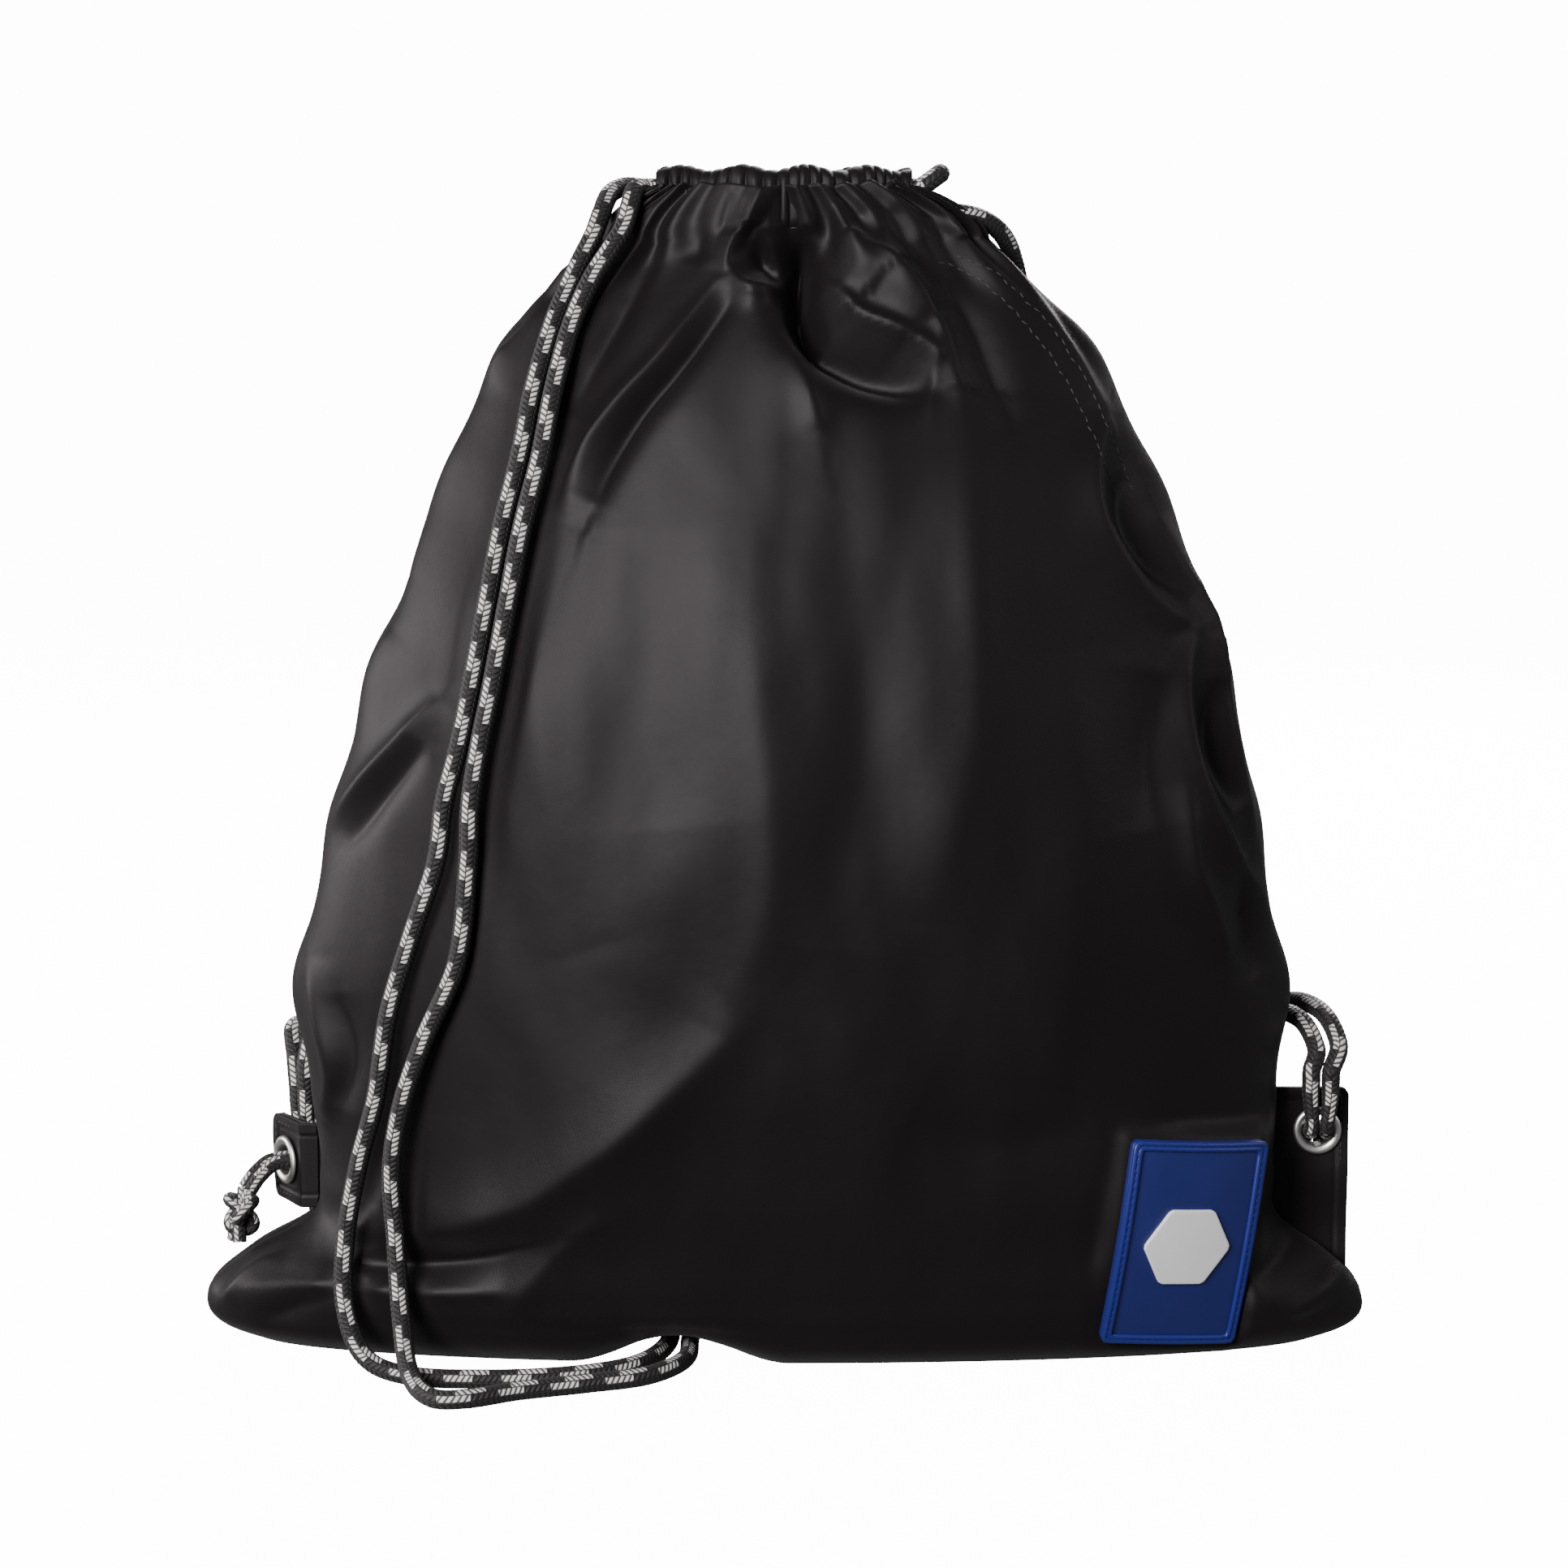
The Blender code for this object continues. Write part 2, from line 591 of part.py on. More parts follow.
# ---------------------------------------------------------------- rubber patch

def patch_place(across, up):
    """A point of the patch's plane laid on the front of the bag: across and up from its centre."""
    x = PATCH_CENTRE[0] + across * math.cos(PATCH_LEAN) + up * math.sin(PATCH_LEAN)
    z = PATCH_CENTRE[1] - across * math.sin(PATCH_LEAN) + up * math.cos(PATCH_LEAN)
    return x, z


def lay_on_front(mesh_data, height):
    """Moves flat vertices, given in the patch's plane, to a height over the cloth."""
    for vertex in mesh_data.verts:
        x, z = patch_place(vertex.co.x, vertex.co.y)
        point = surface_point(x, z, -1) + surface_normal(x, z, -1) * (CLOTH + PATCH_STANDOFF + height)
        vertex.co = point * MM


def patch_grid():
    """The patch's flat grid, with a narrow band of faces all round for the rim."""
    grid = bmesh.new()
    bmesh.ops.create_grid(grid, x_segments=PATCH_COLUMNS, y_segments=PATCH_ROWS, size=0.5)
    for vertex in grid.verts:
        for axis, count, size in ((0, PATCH_COLUMNS, PATCH_WIDTH), (1, PATCH_ROWS, PATCH_HEIGHT)):
            share = vertex.co[axis]
            inner_edge = 0.5 - 1 / count
            if abs(share) > inner_edge + 0.01:
                vertex.co[axis] = math.copysign(size / 2, share)
            else:
                vertex.co[axis] = (size / 2 - PATCH_RIM) * share / inner_edge
    return grid


def build_patch():
    base = patch_grid()
    lay_on_front(base, 0.0)
    finish_layer("patch_base", base, PATCH_BASE_THICK, "navy_rubber")

    rim = patch_grid()
    inner = [face for face in rim.faces if not any(vertex.is_boundary for vertex in face.verts)]
    bmesh.ops.delete(rim, geom=inner, context="FACES")
    lay_on_front(rim, PATCH_BASE_THICK + GAP)
    finish_layer("patch_rim", rim, PATCH_LAYER, "blue_rubber")

    emblem = bmesh.new()
    bmesh.ops.create_circle(emblem, cap_ends=True, cap_tris=True, segments=6, radius=EMBLEM_RADIUS)
    bmesh.ops.subdivide_edges(emblem, edges=emblem.edges, cuts=1, use_grid_fill=True)
    lay_on_front(emblem, PATCH_BASE_THICK + 2 * GAP)
    finish_layer("patch_emblem", emblem, PATCH_LAYER, "white_rubber")


def finish_layer(name, layer, thickness, material_name):
    layer.normal_update()
    mesh = bpy.data.meshes.new(name)
    layer.to_mesh(mesh)
    layer.free()
    thicken(add_part(name, mesh, material_name), thickness)


# ---------------------------------------------------------------- the whole bag

floor_cutter = build_floor_cutter()
build_panel("front_panel", -1)
build_panel("back_panel", 1)
build_seam("left_side_seam", len(BAG_LEVELS) - 3, side_seam_point(-1), Vector((1, 0, 0)))
build_seam("right_side_seam", len(BAG_LEVELS) - 3, side_seam_point(1), Vector((-1, 0, 0)))
build_seam("base_seam", PANEL_COLUMNS - 4, base_seam_point, Vector((0, 0, 1)))
build_channel("front_channel", -1)
build_channel("back_channel", 1)
build_mouth_cords()
build_strand("left_strand_a", LEFT_STRAND_A)
build_strand("left_strand_b", LEFT_STRAND_B)
build_strand("right_strand_a", RIGHT_STRAND_A)
build_strand("right_strand_b", RIGHT_STRAND_B)
build_tab("left", LEFT_TAB_HINGE, LEFT_TAB_TURN, 1)
build_tab("right", RIGHT_TAB_HINGE, RIGHT_TAB_TURN, -1)
build_tails("left", LEFT_TAB_HINGE, LEFT_TAB_TURN, LEFT_TAIL_A, LEFT_TAIL_B, LEFT_KNOT)
build_tails("right", RIGHT_TAB_HINGE, RIGHT_TAB_TURN, RIGHT_TAIL_A, RIGHT_TAIL_B, RIGHT_KNOT)
build_patch()
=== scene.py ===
"""Looks of the drawstring backpack: black twill cloth, braided cords, eyelets and a rubber patch.

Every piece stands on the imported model's own frame. Lengths are in millimetres until MM turns
them into metres. +Z is up and the front faces -Y.
"""

import math

import bmesh
import bpy
import numpy as np
from mathutils import Matrix, Vector, kdtree, noise


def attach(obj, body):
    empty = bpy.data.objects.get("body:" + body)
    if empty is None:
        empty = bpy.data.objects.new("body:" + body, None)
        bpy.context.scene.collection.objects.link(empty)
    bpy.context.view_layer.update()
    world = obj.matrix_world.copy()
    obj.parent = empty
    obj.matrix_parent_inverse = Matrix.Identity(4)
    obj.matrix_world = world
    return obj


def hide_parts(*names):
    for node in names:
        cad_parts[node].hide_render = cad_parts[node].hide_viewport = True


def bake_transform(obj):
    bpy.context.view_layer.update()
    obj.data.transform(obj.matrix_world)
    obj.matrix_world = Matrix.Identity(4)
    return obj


MM = 0.001

# Bag, as in the CAD: height, left edge, right edge, depth from the seam to the front or back.
BASE_Z = 1.8
BAG_LEVELS = [
    (BASE_Z, -184, 186, 36),
    (6, -195, 197, 46),
    (17, -201.5, 201.5, 56),
    (30, -188, 190, 61),
    (44, -165, 172, 65),
    (60, -161, 170, 69),
    (92, -164, 171, 74),
    (130, -167, 172, 77),
    (180, -157, 164, 79),
    (228, -142, 152, 76),
    (272, -127, 140, 68),
    (312, -110, 121, 56),
    (346, -94, 103, 42),
    (381.5, -62, 68, 23),
]
BASE_SEAM_HALF = 174.0
CORD_LIFT = 10.5        # how far the cloth rides up over the cords under the base
CORD_TUNNEL_X = -36.0
CORD_LIFT_REACH = 38.0
CORD_LIFT_HEIGHT = 22.0
CLOTH_FACE = 1.7        # outer face of the cloth, measured from the stitched surface
CLOTH_THICK = 1.0
PANEL_COLUMNS = 240
BASE_ROWS = 14
BODY_ROWS = 250
NECK_ROWS = 22
NECK_TOP = 400.0        # the panels run up over the outside of the hem tunnels

# Gathered mouth, as in the CAD
MOUTH_HALF_LENGTH = 43.0
MOUTH_END_Y = 7.0
MOUTH_BULGE = 13.0
CHANNEL_BOTTOM = 384.6
CHANNEL_TOP = 406.0
CHANNEL_THICK = 11.0
TUNNEL_WIDTH = 7.6
LOWER_CORD_Z = 391.0
UPPER_CORD_Z = 399.3

# Cords
CORD_RADIUS = 3.25
SQUEEZED_RADIUS = 2.45
CORD_STEP = 0.8
CORD_SIDES = 20
STITCH_PITCH = 1.9      # one stitch of the braid, along the cord
FLECK_PERIOD = 19.0     # from one group of white stitches to the next
CORD_EXIT_X = 43.8

# Side tabs and eyelets, as in the CAD
TAB_WIDTH = 20.8
TAB_START = 1.2
EYELET_OFFSET = 11.0
EYELET_HOLE_RADIUS = 5.25
BARREL_RADIUS = 6.0
FLANGE_RADIUS = 8.5
FLANGE_THICK = 1.3
WASHER_RADIUS = 8.0
WASHER_THICK = 1.0
TAB_THICK = 3.0
GAP = 0.3
LEFT_TAB_HINGE = (-168.5, 0.0, 61.0)
RIGHT_TAB_HINGE = (175.5, 0.0, 74.0)
LEFT_TAB_TURN = math.radians(122)
RIGHT_TAB_TURN = 0.0

# Patch, as in the CAD
PATCH_CENTRE = (134.0, 46.0)
PATCH_LEAN = math.radians(7)
PATCH_WIDTH = 47.0
PATCH_HEIGHT = 72.0
PATCH_BASE_THICK = 1.4
PATCH_RIM = 3.4
PATCH_LAYER = 0.8
EMBLEM_RADIUS = 15.0
PATCH_HEIGHT_OVER_CLOTH = 3.9
PATCH_CURVE = (3.0, 178.0, 72.0)    # middle x, half width and depth of the cloth behind the patch
PATCH_CURVE_TOP = 80.0              # its height where the cloth is deepest
PATCH_CURVE_FALL = 0.0045           # how fast its depth falls below that
PATCH_SIDES = 120                   # points round the patch and its hexagon

# Cloth, cut and sewn
SHOULDER_STITCHES = {
    "outer": [(56, 377), (72, 370), (86, 357), (99, 339), (109, 318), (118, 296)],
    "inner": [(50, 376), (66, 368), (80, 355), (93, 337), (103, 317), (112, 295)],
}
TAB_ABOVE = 15                      # from the eyelet's middle to the tab's top edge
RIGHT_TAB_BELOW = 52                # and down to the bottom edge of the long right tab
LEFT_TAB_ROOT = (-3.2, -5.1)        # where each tab is sewn into its seam, in its own frame
RIGHT_TAB_ROOT = (-7.0, 0.0)

# Hem, gathered into the mouth, and the tabs' stitching
CHANNEL_SIDES = 36
CHANNEL_STEPS = 150
CHANNEL_GATHER = 1.15
HEM_STITCH_COLUMN = 31              # the place round the hem where its stitches run
TAB_STITCH_START = 6.0
TAB_STITCH_INSET = 2.6

# Stage: camera, lamps as (name, place, size, power), and the white all round
CAMERA_DISTANCE = 1.28
CAMERA_ELEVATION = math.radians(8)
CAMERA_AIM = Vector((0, 0, 0.196))
CAMERA_LENS = 85
CAMERA_SENSOR = 36
LAMPS = (
    ("key", (-0.95, -1.7, 0.85), 1.0, 66),
    ("left_edge", (-1.7, 0.3, 0.5), 0.9, 22),
    ("fill", (1.7, -0.3, 0.9), 0.7, 5),
    ("back", (0.4, 1.7, 1.2), 1.2, 48),
)
LAMP_COLOUR = (1.0, 0.94, 0.96)
LAMP_AIM = (0, 0, 0.2)
FLOOR_HALF = 4.0
DOME_RADIUS = 3.9
STAGE_GLOW = 14.0
WORLD_GLOW = 0.14

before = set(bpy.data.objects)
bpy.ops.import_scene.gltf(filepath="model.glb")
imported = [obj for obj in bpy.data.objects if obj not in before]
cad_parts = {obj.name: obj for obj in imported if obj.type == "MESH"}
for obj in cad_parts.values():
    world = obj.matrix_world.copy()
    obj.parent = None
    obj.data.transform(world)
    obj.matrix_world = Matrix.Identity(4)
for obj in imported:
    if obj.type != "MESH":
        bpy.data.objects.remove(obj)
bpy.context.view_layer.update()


# ---------------------------------------------------------------- camera, light and floor

def add_camera():
    data = bpy.data.cameras.new("Camera")
    data.lens = CAMERA_LENS
    data.sensor_width = CAMERA_SENSOR
    camera = bpy.data.objects.new("Camera", data)
    back = Vector((0, -math.cos(CAMERA_ELEVATION), math.sin(CAMERA_ELEVATION)))
    camera.location = CAMERA_AIM + CAMERA_DISTANCE * back
    camera.rotation_euler = (CAMERA_AIM - camera.location).to_track_quat("-Z", "Y").to_euler()
    bpy.context.scene.collection.objects.link(camera)
    bpy.context.scene.camera = camera


def add_area_light(name, location, size, power):
    data = bpy.data.lights.new(name, "AREA")
    data.shape = "DISK"
    data.size = size
    data.energy = power
    data.color = LAMP_COLOUR
    light = bpy.data.objects.new(name, data)
    light.location = location
    light.rotation_euler = (Vector(LAMP_AIM) - Vector(location)).to_track_quat("-Z", "Y").to_euler()
    bpy.context.scene.collection.objects.link(light)


def add_stage(name, shape, colour, roughness):
    """A white stage piece that the camera sees and that lights nothing."""
    mesh = bpy.data.meshes.new(name)
    shape.to_mesh(mesh)
    shape.free()
    stage = bpy.data.objects.new(name, mesh)
    bpy.context.scene.collection.objects.link(stage)
    material = bpy.data.materials.new(name + "_white")
    material.use_nodes = True
    shader = material.node_tree.nodes["Principled BSDF"]
    shader.inputs["Base Color"].default_value = colour
    shader.inputs["Roughness"].default_value = roughness
    shader.inputs["Emission Color"].default_value = (1, 1, 1, 1)
    shader.inputs["Emission Strength"].default_value = STAGE_GLOW
    mesh.materials.append(material)
    stage.visible_glossy = False
    stage.visible_diffuse = False
    return stage


def add_floor():
    grid = bmesh.new()
    bmesh.ops.create_grid(grid, x_segments=1, y_segments=1, size=FLOOR_HALF)
    add_stage("floor", grid, (0.9, 0.9, 0.9, 1), 0.8)


def add_backdrop():
    dome = bmesh.new()
    bmesh.ops.create_uvsphere(dome, u_segments=48, v_segments=24, radius=DOME_RADIUS)
    add_stage("backdrop", dome, (0, 0, 0, 1), 0.5).visible_shadow = False


def add_world():
    world = bpy.data.worlds.new("studio")
    world.use_nodes = True
    background = world.node_tree.nodes["Background"]
    background.inputs["Color"].default_value = (1.0, 1.0, 1.0, 1)
    background.inputs["Strength"].default_value = WORLD_GLOW
    bpy.context.scene.world = world


add_camera()
add_world()
add_floor()
add_backdrop()
for lamp in LAMPS:
    add_area_light(*lamp)


# ---------------------------------------------------------------- materials

class Nodes:
    """Short calls for building one material's node tree."""

    def __init__(self, name):
        self.material = bpy.data.materials.new(name)
        self.material.use_nodes = True
        self.tree = self.material.node_tree
        self.shader = self.tree.nodes["Principled BSDF"]

    def add(self, kind, **inputs):
        node = self.tree.nodes.new(kind)
        for key, value in inputs.items():
            self.feed(node.inputs[key], value)
        return node

    def feed(self, socket, value):
        if isinstance(value, bpy.types.NodeSocket):
            self.tree.links.new(value, socket)
        else:
            socket.default_value = value

    def math(self, operation, a, b=0.0, c=0.0, clamp=False):
        node = self.add("ShaderNodeMath")
        for socket, value in zip(node.inputs, (a, b, c)):
            self.feed(socket, value)
        node.operation = operation
        node.use_clamp = clamp
        return node.outputs[0]

    def split(self, vector):
        return self.add("ShaderNodeSeparateXYZ", Vector=vector).outputs

    def noise(self, vector, scale, detail=3.0):
        node = self.add("ShaderNodeTexNoise", Vector=vector, Scale=scale, Detail=detail)
        return node.outputs["Fac"]

    def mix(self, factor, a, b):
        node = self.tree.nodes.new("ShaderNodeMix")
        node.data_type = "RGBA"
        self.feed(node.inputs["Factor"], factor)
        self.feed(node.inputs[6], a)
        self.feed(node.inputs[7], b)
        return node.outputs[2]

    def spread(self, value, low, high):
        """Maps 0..1 to low..high."""
        return self.math("MULTIPLY_ADD", value, high - low, low)

    def smooth(self, value, low, high):
        node = self.tree.nodes.new("ShaderNodeMapRange")
        node.interpolation_type = "SMOOTHSTEP"
        self.feed(node.inputs["Value"], value)
        node.inputs["From Min"].default_value = low
        node.inputs["From Max"].default_value = high
        return node.outputs["Result"]

    def bump(self, height, strength, distance, under=None):
        node = self.add("ShaderNodeBump", Height=height, Strength=strength, Distance=distance)
        if under:
            self.feed(node.inputs["Normal"], under)
        return node.outputs["Normal"]

    def set(self, **values):
        for key, value in values.items():
            self.feed(self.shader.inputs[key.replace("_", " ")], value)
        return self.material


def twill_material(name, dark, light, rough_low, rough_high):
    """Satin-faced black twill: fine diagonal ribs, soft rumples and slightly uneven dye."""
    n = Nodes(name)
    coords = n.add("ShaderNodeTexCoord")
    u, v, _ = n.split(coords.outputs["UV"])
    ribs = n.math("SINE", n.math("MULTIPLY_ADD", u, 9000.0, n.math("MULTIPLY", v, 5200.0)))
    threads = n.math("SINE", n.math("MULTIPLY", v, 14000.0))
    weave = n.math("MULTIPLY_ADD", threads, 0.4, ribs)
    rumple = n.noise(coords.outputs["Object"], 26.0, 4.0)
    crease = n.noise(coords.outputs["Object"], 95.0, 3.0)
    patchy = n.noise(coords.outputs["Object"], 9.0, 3.0)
    slubs = n.noise(coords.outputs["UV"], 700.0, 2.0)
    normal = n.bump(rumple, 0.14, 0.004)
    normal = n.bump(crease, 0.12, 0.0006, normal)
    normal = n.bump(weave, 0.22, 0.00005, normal)
    tone = n.math("MULTIPLY_ADD", slubs, 0.25, n.math("MULTIPLY", patchy, 0.75))
    return n.set(Base_Color=n.mix(tone, dark, light), Normal=normal,
                 Roughness=n.spread(patchy, rough_low, rough_high),
                 Sheen_Weight=0.05, Sheen_Roughness=0.4, Specular_IOR_Level=0.22)


def braid_material():
    """Black braid with white flecks, painted lighter on each stitch's crest and darker in the gaps between
    stitches: painted highlight and painted shade. UV.x runs along the cord in metres and UV.y once around it.
    """
    n = Nodes("braided_cord")
    coords = n.add("ShaderNodeTexCoord")
    along, around, _ = n.split(coords.outputs["UV"])
    stitch = n.math("MULTIPLY", along, 1 / (STITCH_PITCH * MM))
    columns = n.math("MULTIPLY", around, 8.0)
    column = n.math("FLOOR", columns)
    across = n.math("ABSOLUTE", n.math("MULTIPLY_ADD", n.math("FRACT", columns), 2.0, -1.0))
    odd = n.math("MODULO", column, 2.0)
    slant = n.math("MULTIPLY", n.math("MULTIPLY_ADD", odd, 2.0, -1.0),
                   n.math("FRACT", columns))
    wave = n.math("ABSOLUTE", n.math("MULTIPLY_ADD",
                  n.math("FRACT", n.math("MULTIPLY_ADD", slant, 0.75, stitch)), 2.0, -1.0))
    strand = n.math("MULTIPLY", n.smooth(wave, 1.0, 0.22), n.smooth(across, 1.0, 0.72))
    shift = n.math("MULTIPLY", odd, 0.28)
    fleck = n.math("FRACT", n.math("MULTIPLY_ADD", along, 1 / (FLECK_PERIOD * MM), shift))
    group = n.math("LESS_THAN", fleck, 0.5)
    pair = n.math("LESS_THAN", n.math("MODULO", column, 4.0), 1.5)
    white = n.math("MULTIPLY", n.math("MULTIPLY", group, pair), strand)
    grain = n.noise(coords.outputs["UV"], 2600.0, 2.0)
    # painted highlight and shade: the black is lighter on each stitch's crest and darkest in the gaps between
    # stitches, where shade falls
    black = n.mix(strand, (0.002, 0.002, 0.0022, 1), (0.012, 0.0115, 0.012, 1))
    thread = n.mix(grain, (0.62, 0.60, 0.58, 1), (0.92, 0.91, 0.89, 1))
    normal = n.bump(strand, 0.7, 0.0005)
    normal = n.bump(grain, 0.25, 0.0001, normal)
    return n.set(Base_Color=n.mix(white, black, thread), Normal=normal,
                 Roughness=n.spread(grain, 0.5, 0.75), Sheen_Weight=0.08, Sheen_Roughness=0.5)


def nickel_material():
    n = Nodes("nickel_plate")
    coords = n.add("ShaderNodeTexCoord")
    cloudy = n.noise(coords.outputs["Object"], 260.0, 4.0)
    scratch = n.noise(coords.outputs["Object"], 1800.0, 2.0)
    normal = n.bump(scratch, 0.12, 0.0001)
    return n.set(Base_Color=n.mix(cloudy, (0.78, 0.77, 0.75, 1), (0.95, 0.94, 0.92, 1)), Metallic=1.0,
                 Roughness=n.spread(cloudy, 0.30, 0.46), Normal=normal)


def rubber_material(name, dark, light, rough_low, rough_high):
    """Moulded rubber: a fine satin grain, slightly uneven gloss."""
    n = Nodes(name)
    coords = n.add("ShaderNodeTexCoord")
    grain = n.noise(coords.outputs["Object"], 1400.0, 3.0)
    cloudy = n.noise(coords.outputs["Object"], 60.0, 3.0)
    normal = n.bump(grain, 0.18, 0.0001)
    return n.set(Base_Color=n.mix(cloudy, dark, light), Roughness=n.spread(cloudy, rough_low, rough_high),
                 Normal=normal, Coat_Weight=0.08, Coat_Roughness=0.35)


def thread_material():
    n = Nodes("black_thread")
    coords = n.add("ShaderNodeTexCoord")
    twist = n.noise(coords.outputs["Object"], 2400.0, 2.0)
    return n.set(Base_Color=n.mix(twist, (0.010, 0.010, 0.011, 1), (0.045, 0.043, 0.044, 1)),
                 Roughness=n.spread(twist, 0.4, 0.7), Normal=n.bump(twist, 0.4, 0.0002))


TWILL = twill_material("black_twill", (0.0050, 0.0038, 0.0043, 1), (0.0085, 0.0068, 0.0075, 1), 0.46, 0.56)
TAPE = twill_material("seam_tape", (0.008, 0.008, 0.008, 1), (0.018, 0.018, 0.018, 1), 0.7, 0.85)
BRAID = braid_material()
NICKEL = nickel_material()
NAVY = rubber_material("navy_rubber", (0.010, 0.016, 0.120, 1), (0.013, 0.021, 0.150, 1), 0.42, 0.55)
BLUE = rubber_material("blue_rubber", (0.010, 0.018, 0.170, 1), (0.013, 0.024, 0.210, 1), 0.35, 0.48)
WHITE = rubber_material("white_rubber", (0.84, 0.86, 0.88, 1), (0.93, 0.94, 0.95, 1), 0.42, 0.55)
THREAD = thread_material()


# ---------------------------------------------------------------- mesh helpers

def add_object(name, mesh, material):
    obj = bpy.data.objects.new(name, mesh)
    bpy.context.scene.collection.objects.link(obj)
    mesh.materials.clear()
    mesh.materials.append(material)
    mesh.shade_smooth()
    return obj


def sheet_mesh(name, points, uvs=None, closed_u=False):
    """A mesh over a grid of points (rows, columns, 3), in metres."""
    rows, columns = points.shape[:2]
    index = np.arange(rows * columns).reshape(rows, columns)
    if closed_u:
        index = np.hstack([index, index[:, :1]])
    quads = np.stack([index[:-1, :-1], index[:-1, 1:], index[1:, 1:], index[1:, :-1]], axis=-1)
    mesh = bpy.data.meshes.new(name)
    mesh.from_pydata(points.reshape(-1, 3).tolist(), [], quads.reshape(-1, 4).tolist())
    if uvs is not None:
        if closed_u:
            last = uvs[:, :1] + np.array([0.0, 1.0])
            uvs = np.concatenate([uvs, last], axis=1)
        corners = np.stack([uvs[:-1, :-1], uvs[:-1, 1:], uvs[1:, 1:], uvs[1:, :-1]], axis=2)
        layer = mesh.uv_layers.new(name="UVMap")
        layer.data.foreach_set("uv", corners.reshape(-1).astype(np.float32))
    return mesh


def smooth_path(route, step):
    """Points about one step apart on a smooth curve through the route's own points."""
    route = [Vector(point) for point in route]
    padded = [2 * route[0] - route[1], *route, 2 * route[-1] - route[-2]]
    dense = []
    for p0, p1, p2, p3 in zip(padded, padded[1:], padded[2:], padded[3:]):
        for i in range(24):
            t = i / 24
            dense.append(0.5 * (2 * p1 + (p2 - p0) * t + (2 * p0 - 5 * p1 + 4 * p2 - p3) * t ** 2
                                + (3 * p1 - p0 - 3 * p2 + p3) * t ** 3))
    dense.append(route[-1])
    dense = np.array(dense)
    lengths = np.concatenate([[0], np.cumsum(np.linalg.norm(np.diff(dense, axis=0), axis=1))])
    wanted = np.linspace(0, lengths[-1], max(2, round(lengths[-1] / step)) + 1)
    return np.stack([np.interp(wanted, lengths, dense[:, axis]) for axis in range(3)], axis=1)


def smoothstep(value, low, high):
    share = np.clip((value - low) / (high - low), 0, 1)
    return share * share * (3 - 2 * share)


# ---------------------------------------------------------------- bag surface and its folds

def level_at(z):
    """Left edge, right edge and depth at each height, on smooth curves through the levels."""
    levels = np.array(BAG_LEVELS, float)
    heights = levels[:, 0]
    slopes = np.gradient(levels[:, 1:], heights, axis=0)
    place = np.clip(np.searchsorted(heights, z) - 1, 0, len(heights) - 2)
    step = (heights[place + 1] - heights[place])[:, None]
    t = np.clip((z - heights[place])[:, None] / step, 0, 1)
    low, high = levels[place, 1:], levels[place + 1, 1:]
    return ((2 * t ** 3 - 3 * t ** 2 + 1) * low + (t ** 3 - 2 * t ** 2 + t) * step * slopes[place]
            + (3 * t ** 2 - 2 * t ** 3) * high + (t ** 3 - t ** 2) * step * slopes[place + 1]).T


def lip_y(share):
    """How far one lip stands out from the middle of the mouth, from its left end -1 to its right end 1."""
    return MOUTH_END_Y + MOUTH_BULGE * (0.5 + 0.5 * np.cos(np.pi * share))


def cord_lift(x, z):
    away = np.clip(1 - np.abs(x - CORD_TUNNEL_X) / CORD_LIFT_REACH, 0, 1)
    arch = away * away * (3 - 2 * away)
    return CORD_LIFT * arch * np.clip(1 - (z - BASE_Z) / CORD_LIFT_HEIGHT, 0, 1)


